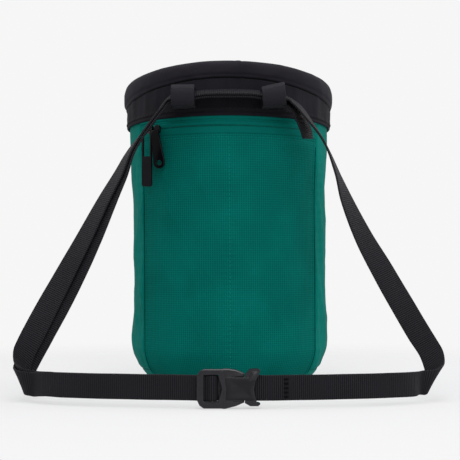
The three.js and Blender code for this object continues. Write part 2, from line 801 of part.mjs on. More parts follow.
// The male part: the tongue, the front plate over the fixed bar, and the two release buttons
function buckleMale() {
  const left = sleeveRight + clearance;
  const tongue = buckleBlock(
    bar(left - tongueLength, left + tongueRoot, tongueHeight / 2 - clearance),
    clearance - tongueThickness / 2,
    tongueThickness / 2 - clearance,
  );
  const plateHalf = windowHalf;
  const foot = buckleBlock(bar(left, left + tongueRoot, plateHalf), -buckleHalf, buckleHalf);
  const plate = buckleBlock(
    outline(plateOutline, buttonRight, 1, plateHalf),
    buckleHalf - facePlate,
    buckleHalf,
  );
  let solid = tongue.add(foot).add(plate);
  for (const side of [-1, 1]) {
    const reach = side * (side > 0 ? buckleMiddle : lowerButton * buckleMiddle);
    const root = side * (windowHalf - clearance / 2);
    const corners = [
      [left, root],
      [buttonRight - buttonCorner, root],
      [buttonRight, reach - side * buttonCorner],
      [buttonRight - buttonCorner, reach],
      [left + buttonSlope, reach],
    ];
    const button = side > 0 ? corners : corners.reverse();
    solid = solid.add(buckleBlock(button, -buckleHalf, buckleHalf));
  }
  return geometryOf(solid.add(buckleBar(fixedBarAt, fixedBarDepth, fixedBarRadius)));
}

addPiece("bag_shell", bagShell(), "green");
addPiece("pocket_panel", pocketPanel(), "green");
addPiece("zip_strip", zipStrip(), "green");
addPiece("zip_slider_plate", zipSlider(plateTurn), "gloss");
addPiece("zip_slider_tab", zipSlider(tabTurn), "gloss");
addPiece("zip_pull_plate", pullPlate(), "gloss");
addPiece("zip_pull_tab", pullTab(), "plastic");
addPiece("yoke_band", yokeBand(), "yoke");
addPiece("rim_roll", rimRoll(), "yoke");
for (const loop of loops) {
  addPiece(loop.name, beltLoop(loop), "webbing");
}

const ladderDepth = ladderTurn - beltFront;
const fixedDepth = fixedBarDepth - fixedTurn;
const leftStations = beltStations(leftRiser, leftFold, -loops[0].across, ladderDepth);
const rightStations = beltStations(rightRiser, rightFold, loops[1].across, fixedDepth);
const leftRun = [
  ...leftStations,
  station(new THREE.Vector3(frameLeft - runEnd, ladderDepth, runHeight), levelWeb),
  station(new THREE.Vector3(ladderBarAt - ladderTurn, ladderDepth, runHeight), levelWeb),
];
const leftWrap = barStations(ladderBarAt, -beltFront, ladderTurn, 90, ladderWrap);
const rightRun = [
  ...rightStations,
  station(new THREE.Vector3(-buttonRight - runEnd, fixedDepth, runHeight), levelWeb),
];
const rightWrap = barStations(-fixedBarAt, fixedBarDepth, fixedTurn, -90, sewnWrap);
const sewnEnd = -fixedBarAt - sewnLength;
const sewn = [0.3, 0.55, 1].map((share) => {
  const across = -fixedBarAt - share * sewnLength;
  return station(new THREE.Vector3(across, fixedDepth + layerPitch, runHeight), levelWeb);
});

const tailRests = leftRun.map((_, i) => {
  const slip = [...leftRiser, ...leftFold][i - loopRows.length]?.slip ?? 0;
  return { lift: -layerPitch - looseness * slip, slip };
});
addPiece("belt_left", ribbon([...leftRun, ...leftWrap]), "webbing");
addPiece("belt_tail_left", ribbon(leftRun, { rests: tailRests }), "webbing");
addPiece("belt_right", ribbon([...rightRun, ...rightWrap, ...sewn], { mirrored: true }), "webbing");
const tailEnd = tailStations(loops[1].across);
const endRests = tailEnd.map((_, i) => {
  const slack = i < loopRows.length - 2 ? 0 : tailSlack;
  return { lift: -layerPitch - slack, slip: 0 };
});
addPiece("belt_tail_right", ribbon(tailEnd, { rests: endRests, mirrored: true }), "webbing");
addPiece("buckle_female", buckleFemale(), "plastic");
addPiece("buckle_male", buckleMale(), "plastic");

export default bag;
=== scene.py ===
"""Looks of a climbing chalk bag: cloth, padding, webbing, zip, stitches and buckle.

Lengths are in millimetres until a mesh is made. +Z is up, the belt side looks towards -Y, and a
turn is the angle round the bag's axis, 0 at the belt side and positive towards +X.
"""

import logging
from dataclasses import dataclass, field
from enum import Enum

import bmesh
import bpy
import numpy as np
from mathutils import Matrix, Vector


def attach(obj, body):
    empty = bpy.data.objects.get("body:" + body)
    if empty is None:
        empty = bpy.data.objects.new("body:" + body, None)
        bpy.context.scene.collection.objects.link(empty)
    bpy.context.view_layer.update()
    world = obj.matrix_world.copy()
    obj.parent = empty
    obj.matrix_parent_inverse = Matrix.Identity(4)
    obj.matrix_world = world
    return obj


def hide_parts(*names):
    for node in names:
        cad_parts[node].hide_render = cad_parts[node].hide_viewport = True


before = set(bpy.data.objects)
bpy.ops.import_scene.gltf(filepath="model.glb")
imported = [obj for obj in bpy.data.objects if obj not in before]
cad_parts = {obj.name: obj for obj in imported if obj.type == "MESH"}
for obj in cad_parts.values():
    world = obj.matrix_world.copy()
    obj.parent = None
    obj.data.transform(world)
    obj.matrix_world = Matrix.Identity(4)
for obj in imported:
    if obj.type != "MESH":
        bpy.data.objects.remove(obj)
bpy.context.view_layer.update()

Array = np.ndarray
Socket = bpy.types.NodeSocket
MM = 0.001
LOG = logging.getLogger("chalk_bag")


def ease(value: Array, low: float, high: float) -> Array:
    """Smooth step: 0 below low, 1 above high, and 3t^2 - 2t^3 of the share between them."""
    share = np.clip((np.asarray(value, float) - low) / (high - low), 0.0, 1.0)
    return share * share * (3.0 - 2.0 * share)


def unit(vectors: Array) -> Array:
    """Vectors divided by their lengths."""
    return vectors / np.maximum(np.linalg.norm(vectors, axis=-1, keepdims=True), 1e-9)


def lengths_along(path: Array) -> Array:
    """Running length along a path: the sum of the distances between its points."""
    steps = np.linalg.norm(np.diff(path, axis=0), axis=1)
    return np.concatenate([[0.0], np.cumsum(steps)])


def bump(value: Array, centre: float, width: float) -> Array:
    """A bell round centre: e to the power of minus the squared distance in widths."""
    return np.exp(-(((np.asarray(value) - centre) / width) ** 2))


def ridges(value: Array, rows: tuple) -> Array:
    """The sum of the bells of a table, whose rows are height, centre and width."""
    return sum(height * bump(value, centre, width) for height, centre, width in rows)


def spread(*parts: Array) -> Array:
    """Points from the arrays of their coordinates, brought to one shape first."""
    return np.stack(np.broadcast_arrays(*parts), -1)


def smooth_curve(knots: Array, steps: int) -> Array:
    """A centripetal Catmull-Rom curve through knots.

    Each span is the cubic through its two knots, with slopes from the neighbours, spaced by the
    fourth root of the squared distances. The end neighbours are mirrored from the next knots.

    Args:
        knots: the points, one row each.
        steps: samples for each span.

    Returns:
        The sampled points, the last knot included.
    """
    first = 2 * knots[0] - knots[1]
    last = 2 * knots[-1] - knots[-2]
    padded = np.vstack([first, knots, last])
    p0, p1, p2, p3 = padded[:-3], padded[1:-2], padded[2:-1], padded[3:]
    gap = [np.sum((b - a) ** 2, axis=1) ** 0.25 for a, b in ((p0, p1), (p1, p2), (p2, p3))]
    middle = np.where(gap[1] < 1e-4, 1.0, gap[1])[:, None]
    before = np.where(gap[0] < 1e-4, middle[:, 0], gap[0])[:, None]
    after = np.where(gap[2] < 1e-4, middle[:, 0], gap[2])[:, None]
    start = ((p1 - p0) / before - (p2 - p0) / (before + middle) + (p2 - p1) / middle) * middle
    end = ((p2 - p1) / middle - (p3 - p1) / (middle + after) + (p3 - p2) / after) * middle
    t = (np.arange(steps) / steps)[None, :, None]
    a, b, c, d = (x[:, None, :] for x in (p1, start, -3 * p1 + 3 * p2 - 2 * start - end,
                                          2 * p1 - 2 * p2 + start + end))
    sampled = (a + b * t + c * t**2 + d * t**3).reshape(-1, knots.shape[1])
    return np.vstack([sampled, knots[-1]])


@dataclass
class Draft:
    """Grids of points that are gathered into one welded mesh."""

    points: list[Array] = field(default_factory=list)
    quads: list[Array] = field(default_factory=list)
    charts: list[Array] = field(default_factory=list)
    slots: list[Array] = field(default_factory=list)
    count: int = 0

    def grids(self, points: Array, chart: Array | None = None, slot: int = 0) -> None:
        """Adds grids of shape (many, rows, columns, 3), with a cloth chart in millimetres."""
        many, rows, columns = points.shape[:3]
        index = self.count + np.arange(many * rows * columns).reshape(many, rows, columns)
        corners = [index[:, :-1, :-1], index[:, :-1, 1:], index[:, 1:, 1:], index[:, 1:, :-1]]
        quads = np.stack(corners, -1).reshape(-1, 4)
        flat = np.zeros((many * rows * columns, 2))
        if chart is not None:
            flat = np.broadcast_to(chart, points.shape[:3] + (2,)).reshape(-1, 2)
        self.points.append(points.reshape(-1, 3))
        self.quads.append(quads)
        self.charts.append(flat)
        self.slots.append(np.full(len(quads), slot))
        self.count += many * rows * columns

    def grid(self, points: Array, chart: Array | None = None, slot: int = 0) -> None:
        """Adds one grid of shape (rows, columns, 3)."""
        self.grids(points[None], None if chart is None else chart[None], slot)

    def tube(self, rings: Array, chart: Array | None = None, slot: int = 0) -> None:
        """Adds a closed tube: rings of shape (rings, around + 1, 3) and a flat cap at each end."""
        self.grid(rings, chart, slot)
        for end in (0, -1):
            ring = rings[end]
            cap = np.stack([ring, np.broadcast_to(ring[:-1].mean(0), ring.shape)])
            patch = None if chart is None else np.stack([chart[end], chart[end]])
            self.grid(cap, patch, slot)

    def build(self, name: str, materials: list[bpy.types.Material], crease: float = 180.0,
              weld: float = 0.002) -> bpy.types.Object:
        """Welds the grids, turns the faces outwards and makes the object.

        Args:
            name: the piece's name.
            materials: one for each slot number that the grids use.
            crease: edges sharper than this many degrees are drawn sharp.
            weld: points closer than this many millimetres are joined.

        Returns:
            The new object, in the scene.
        """
        points = np.concatenate(self.points) * MM
        quads = np.concatenate(self.quads)
        mesh = bpy.data.meshes.new(name)
        mesh.vertices.add(len(points))
        mesh.vertices.foreach_set("co", points.ravel())
        mesh.loops.add(quads.size)
        mesh.loops.foreach_set("vertex_index", quads.ravel().astype(np.int32))
        mesh.polygons.add(len(quads))
        mesh.polygons.foreach_set("loop_start", np.arange(0, quads.size, 4, dtype=np.int32))
        mesh.polygons.foreach_set("material_index", np.concatenate(self.slots).astype(np.int32))
        mesh.update(calc_edges=True)
        layer = mesh.uv_layers.new(name="cloth")
        chart = np.concatenate(self.charts)[quads.ravel()] * MM
        layer.uv.foreach_set("vector", chart.ravel().astype(np.float32))
        welded = bmesh.new()
        welded.from_mesh(mesh)
        bmesh.ops.remove_doubles(welded, verts=welded.verts, dist=weld * MM)
        bmesh.ops.dissolve_degenerate(welded, edges=welded.edges, dist=weld * MM / 4)
        bmesh.ops.recalc_face_normals(welded, faces=welded.faces)
        welded.to_mesh(mesh)
        welded.free()
        return show(name, mesh, materials, crease)


def show(name: str, mesh: bpy.types.Mesh, materials: list[bpy.types.Material],
         crease: float) -> bpy.types.Object:
    """Puts a mesh into the scene, smooth up to the crease angle in degrees, with its materials."""
    for material in materials:
        mesh.materials.append(material)
    mesh.shade_smooth()
    if crease < 180:
        mesh.set_sharp_from_angle(angle=np.radians(crease))
    piece = bpy.data.objects.new(name, mesh)
    bpy.context.scene.collection.objects.link(piece)
    return piece


def settle(piece: bpy.types.Object, slot: str, *nodes: str) -> bpy.types.Object:
    """Joins a piece to the body and lets it stand for CAD nodes."""
    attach(piece, "root")
    if nodes:
        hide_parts(*nodes)
    LOG.info("%s: %d faces", piece.name, len(piece.data.polygons))
    return piece


# The four borders of a grid.
ALL_ROUND = (np.s_[0], np.s_[-1], np.s_[:, 0], np.s_[:, -1])


def slab(draft: Draft, outer: Array, inner: Array, chart: Array | None = None,
         borders: tuple = ALL_ROUND) -> None:
    """Closes two facing grids of the same shape into a slab, with a strip along each border."""
    draft.grid(outer, chart)
    draft.grid(inner, chart)
    for border in borders:
        patch = None if chart is None else np.stack([chart[border]] * 2)
        draft.grid(np.stack([outer[border], inner[border]]), patch)


def rounded_section(width: float, thickness: float, radius: float, flat_steps: int = 8,
                    corner_steps: int = 3) -> Array:
    """A rounded rectangle as a closed ring of (across, out) points, the first one repeated."""
    centres = np.array([[1, 1], [-1, 1], [-1, -1], [1, -1]]) * [width / 2 - radius,
                                                                 thickness / 2 - radius]
    parts = []
    for i, centre in enumerate(centres):
        angles = np.radians(90 * i + 90 * np.arange(corner_steps + 1) / corner_steps)
        arc = centre + radius * np.stack([np.cos(angles), np.sin(angles)], -1)
        following = centres[(i + 1) % 4] + radius * np.array([np.cos(angles[-1]),
                                                              np.sin(angles[-1])])
        steps = flat_steps if i % 2 == 0 else 2
        share = (np.arange(1, steps) / steps)[:, None]
        parts += [arc, arc[-1] + share * (following - arc[-1])]
    ring = np.vstack(parts)
    return np.vstack([ring, ring[:1]])


def moulded(name: str, node: str, finish: "Finish", rounding: float,
            segments: int = 3) -> bpy.types.Object:
    """A copy of a hard CAD node with its doubles merged, flat areas joined and edges rounded."""
    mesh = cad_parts[node].data.copy()
    mesh.materials.clear()
    merged = bmesh.new()
    merged.from_mesh(mesh)
    bmesh.ops.remove_doubles(merged, verts=merged.verts, dist=0.001 * MM)
    bmesh.ops.dissolve_limit(merged, angle_limit=np.radians(1.5), verts=merged.verts,
                             edges=merged.edges)
    merged.to_mesh(mesh)
    merged.free()
    piece = show(name, mesh, [finish.material()], 35.0)
    bevel = piece.modifiers.new("rounded edges", "BEVEL")
    bevel.width = rounding * MM
    bevel.segments = segments
    bevel.limit_method = "ANGLE"
    bevel.angle_limit = np.radians(28)
    bevel.harden_normals = False
    return piece


class Graph:
    """A node tree with short ways to add nodes.

    The colour sockets of a Mix node share their names with others, so they go by number.
    """

    MIX_SHARE, MIX_FIRST, MIX_SECOND, MIX_RESULT = 0, 6, 7, 2

    def __init__(self, tree: bpy.types.NodeTree) -> None:
        """Keeps the tree that the nodes go into."""
        self.tree = tree

    def node(self, kind: str, **settings: object) -> bpy.types.Node:
        """Adds a node and sets its properties."""
        made = self.tree.nodes.new(kind)
        for name, value in settings.items():
            setattr(made, name, value)
        return made

    def feed(self, target: Socket, value: object) -> None:
        """Links a socket, or sets a plain value."""
        if isinstance(value, Socket):
            self.tree.links.new(value, target)
        else:
            target.default_value = value

    def fill(self, node: bpy.types.Node, values: dict[str, object]) -> None:
        """Feeds a node's inputs by their names."""
        for name, value in values.items():
            self.feed(node.inputs[name], value)

    def math(self, operation: str, *values: object) -> Socket:
        """A Math node on sockets or numbers."""
        made = self.node("ShaderNodeMath", operation=operation)
        for target, value in zip(made.inputs, values):
            self.feed(target, value)
        return made.outputs[0]

    def ramp(self, value: object, low: float, high: float, start: float = 0.0,
             end: float = 1.0) -> Socket:
        """A smooth Map Range from low..high to start..end."""
        made = self.node("ShaderNodeMapRange", interpolation_type="SMOOTHSTEP")
        for target, item in zip(made.inputs, (value, low, high, start, end)):
            self.feed(target, item)
        return made.outputs[0]

    def blend(self, share: object, first: object, second: object, kind: str = "MIX") -> Socket:
        """Mixes two colours by a share."""
        made = self.node("ShaderNodeMix", data_type="RGBA", blend_type=kind)
        self.feed(made.inputs[self.MIX_SHARE], share)
        self.feed(made.inputs[self.MIX_FIRST], first)
        self.feed(made.inputs[self.MIX_SECOND], second)
        return made.outputs[self.MIX_RESULT]

    def noise(self, place: object, scale: float, detail: float = 2.0) -> Socket:
        """Noise at a place, with scale in lumps for each metre."""
        made = self.node("ShaderNodeTexNoise")
        self.fill(made, {"Vector": place, "Scale": scale, "Detail": detail})
        return made.outputs["Fac"]

    def emboss(self, shader: bpy.types.Node, height: object, depth: float) -> None:
        """Turns a height from 0 to 1 into a bump of the shader, depth in millimetres."""
        made = self.node("ShaderNodeBump")
        self.fill(made, {"Distance": depth * MM, "Strength": 1.0, "Height": height})
        self.feed(shader.inputs["Normal"], made.outputs[0])


def new_group(name: str, inputs: dict[str, str], outputs: dict[str, str]
              ) -> tuple[Graph, bpy.types.Node, bpy.types.Node]:
    """A shader node group with named sockets, given as name to kind."""
    tree = bpy.data.node_groups.new(name, "ShaderNodeTree")
    for way, sockets in (("INPUT", inputs), ("OUTPUT", outputs)):
        for label, kind in sockets.items():
            tree.interface.new_socket(label, in_out=way, socket_type=f"NodeSocket{kind}")
    graph = Graph(tree)
    return graph, graph.node("NodeGroupInput"), graph.node("NodeGroupOutput")


class Weave(Enum):
    """The ways in which the cloths are woven."""

    PLAIN = "plain weave"
    RIPSTOP = "ripstop"
    WEBBING = "ribbed webbing"
    THREAD = "twisted thread"


class WeaveLibrary:
    """Builds each weave's node group once. All take the chart in metres and a pitch in metres."""

    groups: dict[Weave, bpy.types.NodeTree] = {}

    @classmethod
    def get(cls, weave: Weave) -> bpy.types.NodeTree:
        """The group of a weave, with outputs Height and Tone, both from 0 to 1."""
        if weave not in cls.groups:
            graph, given, made = new_group(
                weave.value, {"Chart": "Vector", "Pitch": "Float"},
                {"Height": "Float", "Tone": "Float"})
            split = graph.node("ShaderNodeSeparateXYZ")
            graph.feed(split.inputs[0], given.outputs["Chart"])
            across = graph.math("DIVIDE", split.outputs[0], given.outputs["Pitch"])
            along = graph.math("DIVIDE", split.outputs[1], given.outputs["Pitch"])
            height, tone = getattr(cls, weave.name.lower())(graph, across, along)
            graph.feed(made.inputs["Height"], height)
            graph.feed(made.inputs["Tone"], tone)
            cls.groups[weave] = graph.tree
        return cls.groups[weave]

    @staticmethod
    def wave(graph: Graph, value: Socket, cycles: float) -> Socket:
        """Sine of the value's cycles, from -1 to 1."""
        return graph.math("SINE", graph.math("MULTIPLY", value, 2 * np.pi * cycles))

    @classmethod
    def plain(cls, graph: Graph, across: Socket, along: Socket) -> tuple[Socket, Socket]:
        """Threads over and under: half plus half the product of two sines."""
        product = graph.math("MULTIPLY", cls.wave(graph, across, 0.5), cls.wave(graph, along, 0.5))
        height = graph.math("MULTIPLY_ADD", product, 0.5, 0.5)
        return height, height

    @classmethod
    def ripstop(cls, graph: Graph, across: Socket, along: Socket) -> tuple[Socket, Socket]:
        """A grid of stronger threads, one for each pitch, over a fine plain weave."""
        lines = []
        for value in (across, along):
            away = graph.math("PINGPONG", value, 0.5)
            lines.append(graph.ramp(away, 0.05, 0.17, 1.0, 0.0))
        line = graph.math("MAXIMUM", lines[0], graph.math("MULTIPLY", lines[1], 0.8))
        fine = graph.math("MULTIPLY", cls.wave(graph, across, 2.5), cls.wave(graph, along, 2.5))
        height = graph.math("MULTIPLY_ADD", fine, 0.14, graph.math("MULTIPLY", line, 0.8))
        return height, line

    @classmethod
    def webbing(cls, graph: Graph, across: Socket, along: Socket) -> tuple[Socket, Socket]:
        """Ribs across the strap, each crossed by lengthwise cords that shift from rib to rib."""
        shifted = graph.math("MULTIPLY_ADD", graph.math("FLOOR", along), 0.5, across)
        rib = graph.math("ABSOLUTE", cls.wave(graph, along, 0.5))
        cord = graph.math("ABSOLUTE", cls.wave(graph, shifted, 0.5))
        height = graph.math("MULTIPLY_ADD", cord, 0.2, graph.math("MULTIPLY", rib, 0.8))
        return height, graph.ramp(height, 0.2, 0.85)

    @classmethod
    def thread(cls, graph: Graph, across: Socket, along: Socket) -> tuple[Socket, Socket]:
        """A twist that runs round the thread: the sine of both directions together."""
        twist = cls.wave(graph, graph.math("ADD", across, along), 1.0)
        height = graph.math("MULTIPLY_ADD", twist, 0.5, 0.5)
        return height, height


# Lumps of noise for each metre.
CLOUD_SCALE = 28.0
FUZZ_SCALE = 2600.0
GRAIN_SCALE = 5200.0
GLOSS_SCALE = 160.0
# How far the noise moves the roughness, and the fuzz's height beside that of the weave.
FUZZ_GLOSS = 0.16
CLOUD_GLOSS = 0.18
FUZZ_HEIGHT = 0.35
SHEEN_ROUGHNESS = 0.4


@dataclass(frozen=True)
class Finish:
    """What every finish has: a name, a linear colour and a roughness."""

    name: str
    colour: tuple[float, float, float]
    roughness: float

    def material(self) -> bpy.types.Material:
        """The finish's material, built the first time it is asked for."""
        if self.name not in bpy.data.materials:
            made = bpy.data.materials.new(self.name)
            made.use_nodes = True
            made.diffuse_color = (*self.colour, 1.0)
            shader = made.node_tree.nodes["Principled BSDF"]
            self.dress(Graph(made.node_tree), shader)
        return bpy.data.materials[self.name]

    def dress(self, graph: Graph, shader: bpy.types.Node) -> None:
        """Fills the shader's sockets."""
        raise NotImplementedError

    def tint(self, factor: float) -> tuple[float, float, float, float]:
        """The colour made lighter or darker by a factor."""
        return (*(min(1.0, part * factor) for part in self.colour), 1.0)


@dataclass(frozen=True)
class ClothFinish(Finish):
    """A woven finish.

    The weave's tone moves the colour by the contrast, slow clouds by the drift, and the weave's
    height is a bump of the given depth in millimetres.
    """

    weave: Weave = Weave.PLAIN
    pitch: float = 0.4
    depth: float = 0.05
    contrast: float = 0.15
    drift: float = 0.08
    sheen: float = 0.0
    sheen_colour: tuple[float, float, float] = (1.0, 1.0, 1.0)
    specular: float = 0.3

    def dress(self, graph: Graph, shader: bpy.types.Node) -> None:
        """Weave on the cloth chart, clouds and fuzz on Object coordinates."""
        chart = graph.node("ShaderNodeUVMap", uv_map="cloth").outputs[0]
        place = graph.node("ShaderNodeTexCoord").outputs["Object"]
        weave = graph.node("ShaderNodeGroup", node_tree=WeaveLibrary.get(self.weave))
        graph.fill(weave, {"Chart": chart, "Pitch": self.pitch * MM})
        cloud = graph.noise(place, CLOUD_SCALE, 3.0)
        fuzz = graph.noise(place, FUZZ_SCALE, 2.0)
        woven = graph.blend(weave.outputs["Tone"], self.tint(1 - self.contrast),
                            self.tint(1 + self.contrast))
        low, high = 1 - self.drift, 1 + self.drift
        clouds = graph.blend(graph.ramp(cloud, 0.35, 0.65), (low, low, low, 1),
                             (high, high, high, 1))
        graph.fill(shader, {
            "Base Color": graph.blend(1.0, woven, clouds, "MULTIPLY"),
            "Roughness": graph.math("MULTIPLY_ADD", fuzz, FUZZ_GLOSS,
                                    self.roughness - FUZZ_GLOSS / 2),
            "Specular IOR Level": self.specular,
            "Sheen Weight": self.sheen,
            "Sheen Roughness": SHEEN_ROUGHNESS,
            "Sheen Tint": (*self.sheen_colour, 1.0),
        })
        relief = graph.math("MULTIPLY_ADD", fuzz, FUZZ_HEIGHT, weave.outputs["Height"])
        graph.emboss(shader, relief, self.depth)


@dataclass(frozen=True)
class PlasticFinish(Finish):
    """Moulded plastic: a fine grain in the surface and slow changes of gloss."""

    grain: float = 0.02
    specular: float = 0.5
    coat: float = 0.0

    def dress(self, graph: Graph, shader: bpy.types.Node) -> None:
        """Grain and gloss on Object coordinates."""
        place = graph.node("ShaderNodeTexCoord").outputs["Object"]
        grain = graph.noise(place, GRAIN_SCALE, 2.0)
        cloud = graph.noise(place, GLOSS_SCALE, 3.0)
        graph.fill(shader, {
            "Base Color": graph.blend(graph.ramp(cloud, 0.35, 0.7), self.tint(0.88),
                                      self.tint(1.15)),
            "Roughness": graph.math("MULTIPLY_ADD", cloud, CLOUD_GLOSS,
                                    self.roughness - CLOUD_GLOSS / 2),
            "Specular IOR Level": self.specular,
            "Coat Weight": self.coat,
        })
        graph.emboss(shader, grain, self.grain)


def thread_finish(name: str, colour: tuple[float, float, float], roughness: float,
                  contrast: float, specular: float) -> ClothFinish:
    """A finish of twisted thread."""
    return ClothFinish(name, colour, roughness, Weave.THREAD, pitch=0.5, depth=0.05,
                       contrast=contrast, drift=0.05, specular=specular)


COOL_WHITE = (0.9, 0.88, 1.0)
GREEN = (0.0008, 0.093, 0.0775)
# Lighter than the pocket's green: partly the side fabric's own colour, partly painted sheen in
# place of a real sheen.
SIDE_CLOTH_AND_SHEEN = ClothFinish(
    "side cloth", (0.0012, 0.118, 0.096), roughness=0.6, pitch=0.34, depth=0.03, contrast=0.08,
    drift=0.06, specular=0.012)
RIPSTOP = ClothFinish(
    "pocket ripstop", GREEN, roughness=0.65, weave=Weave.RIPSTOP, pitch=1.45, depth=0.09,
    contrast=0.26, drift=0.08, specular=0.008)
STRIP_CLOTH = ClothFinish(
    "zip strip cloth", (0.0008, 0.088, 0.074), roughness=0.6, pitch=0.34, depth=0.03,
    contrast=0.08, drift=0.05, specular=0.01)
YOKE_CLOTH = ClothFinish(
    "yoke cloth", (0.0072, 0.0066, 0.0090), roughness=0.8, pitch=0.45, depth=0.05, contrast=0.16,
    drift=0.14, sheen=0.02, sheen_colour=COOL_WHITE, specular=0.06)
RIM_CLOTH = ClothFinish(
    "rim cloth", (0.0104, 0.0094, 0.0126), roughness=0.8, pitch=0.45, depth=0.05, contrast=0.16,
    drift=0.14, sheen=0.03, sheen_colour=COOL_WHITE, specular=0.07)
BELT_WEB = ClothFinish(
    "belt webbing", (0.0058, 0.0054, 0.0071), roughness=0.62, weave=Weave.WEBBING, pitch=1.25,
    depth=0.42, contrast=0.75, drift=0.08, sheen=0.01, sheen_colour=COOL_WHITE, specular=0.10)
LOOP_WEB = ClothFinish(
    "loop webbing", (0.0080, 0.0075, 0.0102), roughness=0.66, weave=Weave.WEBBING, pitch=0.8,
    depth=0.08, contrast=0.18, drift=0.08, sheen=0.02, sheen_colour=COOL_WHITE, specular=0.10)
BLACK_THREAD = thread_finish(
    "black thread", (0.012, 0.0115, 0.014), roughness=0.55, contrast=0.25, specular=0.1)
TACK_THREAD = thread_finish(
    "tack thread", (0.0022, 0.0021, 0.0027), roughness=0.7, contrast=0.25, specular=0.05)
GREEN_THREAD = thread_finish(
    "green thread", (0.0015, 0.150, 0.126), roughness=0.5, contrast=0.2, specular=0.04)
# Very dark green: painted shade of the seam grooves, carried by the seam lines and the stitch rows
# beside them.
SEAM_SHADE_THREAD = thread_finish(
    "seam shade thread", (0.0004, 0.022, 0.019), roughness=0.7, contrast=0.2, specular=0.0)
ZIP_COIL = PlasticFinish(
    "zip coil", (0.0010, 0.062, 0.052), roughness=0.5, grain=0.01, specular=0.08)
BUCKLE_PLASTIC = PlasticFinish(
    "buckle plastic", (0.0050, 0.0045, 0.0072), roughness=0.24, grain=0.02, specular=0.36)
PLATE_PLASTIC = PlasticFinish(
    "plate plastic", (0.0038, 0.0034, 0.0056), roughness=0.45, grain=0.02, specular=0.2)
PULL_GLOSS = PlasticFinish(
    "pull gloss", (0.0016, 0.0015, 0.0022), roughness=0.2, grain=0.004, specular=0.1)
PULL_TAB = PlasticFinish(
    "pull tab", (0.0046, 0.0043, 0.0056), roughness=0.6, grain=0.03, specular=0.12)


@dataclass(frozen=True)
class Level:
    """A level line round the bag, with its heights at the belt side, the sides and the front."""

    belt: float
    side: float
    front: float

    def at(self, turn: Array) -> Array:
        """Side height, plus the tilt times the cosine, plus the cup times its square."""
        tilt = (self.belt - self.front) / 2
        cup = (self.belt + self.front) / 2 - self.side
        return self.side + tilt * np.cos(turn) + cup * np.cos(turn) ** 2


@dataclass(frozen=True)
class BagForm:
    """The sizes that the cloth pieces share, and the way from chart to space."""

    clearance: float = 0.3
    body_radius: float = 67.4
    flare: float = 1.9
    flare_height: float = 120.0
    corner_inset: float = 24.0
    corner_height: float = 28.0
    corner_power: float = 1.15
    lean: float = -1.1
    yoke_wall: float = 1.8
    pocket_half_turn: float = 57.5
    panel_foot: float = 8.0
    strip_height: float = 11.0
    zip_drop: float = 5.8
    hem: Level = Level(belt=181.4, side=178.5, front=176.5)
    seam: Level = Level(belt=205.9, side=190.1, front=184.0)
    crest: Level = Level(belt=217.4, side=206.6, front=200.0)

    @property
    def hem_radius(self) -> float:
        """Radius of the green cloth at the hem."""
        return self.body_radius + self.flare

    @property
    def yoke_radius(self) -> float:
        """Outer radius of the yoke."""
        return self.hem_radius + self.clearance + self.yoke_wall

    @property
    def panel_top(self) -> float:
        """Height of the pocket panel's upper edge, at the sides."""
        return self.hem.side - self.strip_height

    @property
    def pocket_edge(self) -> float:
        """Turn of the pocket's side seams, in radians."""
        return np.radians(self.pocket_half_turn)

    def wall_radius(self, height: Array) -> Array:
        """Radius of the cloth: the corner's quarter oval below, a smooth flare above.

        The oval's height share is the cosine to the corner's power, its radius share the sine.
        """
        height = np.asarray(height, float)
        up = np.clip((self.corner_height - height) / self.corner_height, 0, 1)
        sine = np.sqrt(1 - up ** (2 / self.corner_power))
        corner = self.body_radius - self.corner_inset * (1 - sine**self.corner_power)
        return corner + self.flare * ease(height, self.flare_height, self.hem.side)

    def raised(self, height: Array, turn: Array) -> Array:
        """True height of a point drawn at the sides' heights: shares between the level lines."""
        height, turn = np.broadcast_arrays(np.asarray(height, float), turn)
        sides = [self.flare_height, self.hem.side, self.seam.side, self.crest.side]
        tops = [np.full(turn.shape, self.flare_height)]
        tops += [level.at(turn) for level in (self.hem, self.seam, self.crest)]
        result = height.copy()
        for low in range(3):
            share = (height - sides[low]) / (sides[low + 1] - sides[low])
            here = tops[low] + share * (tops[low + 1] - tops[low])
            result = np.where(height > sides[low], here, result)
        return result

    def place(self, turn: Array, radius: Array, height: Array) -> Array:
        """Points in space: round the axis, lifted to the tilted lines and leant sideways."""
        turn, radius, height = np.broadcast_arrays(turn, radius, height)
        up = self.raised(height, turn)
        lean = self.lean * np.minimum(1.0, up / self.hem.side) ** 2
        return np.stack([radius * np.sin(turn) + lean, -radius * np.cos(turn), up], -1)

    def corner_path(self, inset: float, steps: int) -> tuple[Array, Array]:
        """Radii and heights of the bottom corner, from the base up: the same quarter oval."""
        angle = np.linspace(0, np.pi / 2, steps)
        sine = np.sin(angle) ** self.corner_power
        cosine = np.maximum(np.cos(angle), 0) ** self.corner_power
        out = self.body_radius - self.corner_inset + (self.corner_inset - inset) * sine
        return out, self.corner_height - (self.corner_height - inset) * cosine


FORM = BagForm()


@dataclass(frozen=True)
class Folds:
    """Soft folds in cloth, as waves round and up the bag that bend each other.

    Each wave is a ridge, one minus the absolute sine, squared. Its phase is whole waves round the
    bag times the turn, plus waves for each 100 mm of height, plus a slow wander.
    """

    seed: int
    around: tuple[int, int]
    upward: tuple[float, float]
    waves: int = 9

    def relief(self, turn: Array, height: Array) -> Array:
        """The folds' height, about -1 to 1, at turns in radians and heights in millimetres."""
        random = np.random.default_rng(self.seed)
        total = np.zeros(np.broadcast(turn, height).shape)
        for _ in range(self.waves):
            around = random.integers(self.around[0], self.around[1] + 1) * random.choice([-1, 1])
            upward = random.uniform(*self.upward) * random.choice([-1, 1])
            shift, bend = random.uniform(0, 2 * np.pi, 2)
            slow = random.integers(1, 4)
            wander = 1.3 * np.sin(slow * turn + bend + height * random.uniform(0.01, 0.04))
            phase = around * turn + 2 * np.pi * upward * height / 100 + shift + wander
            total += (1 - np.abs(np.sin(phase / 2))) ** 2 - 0.23
        return total / np.sqrt(self.waves) / 0.6


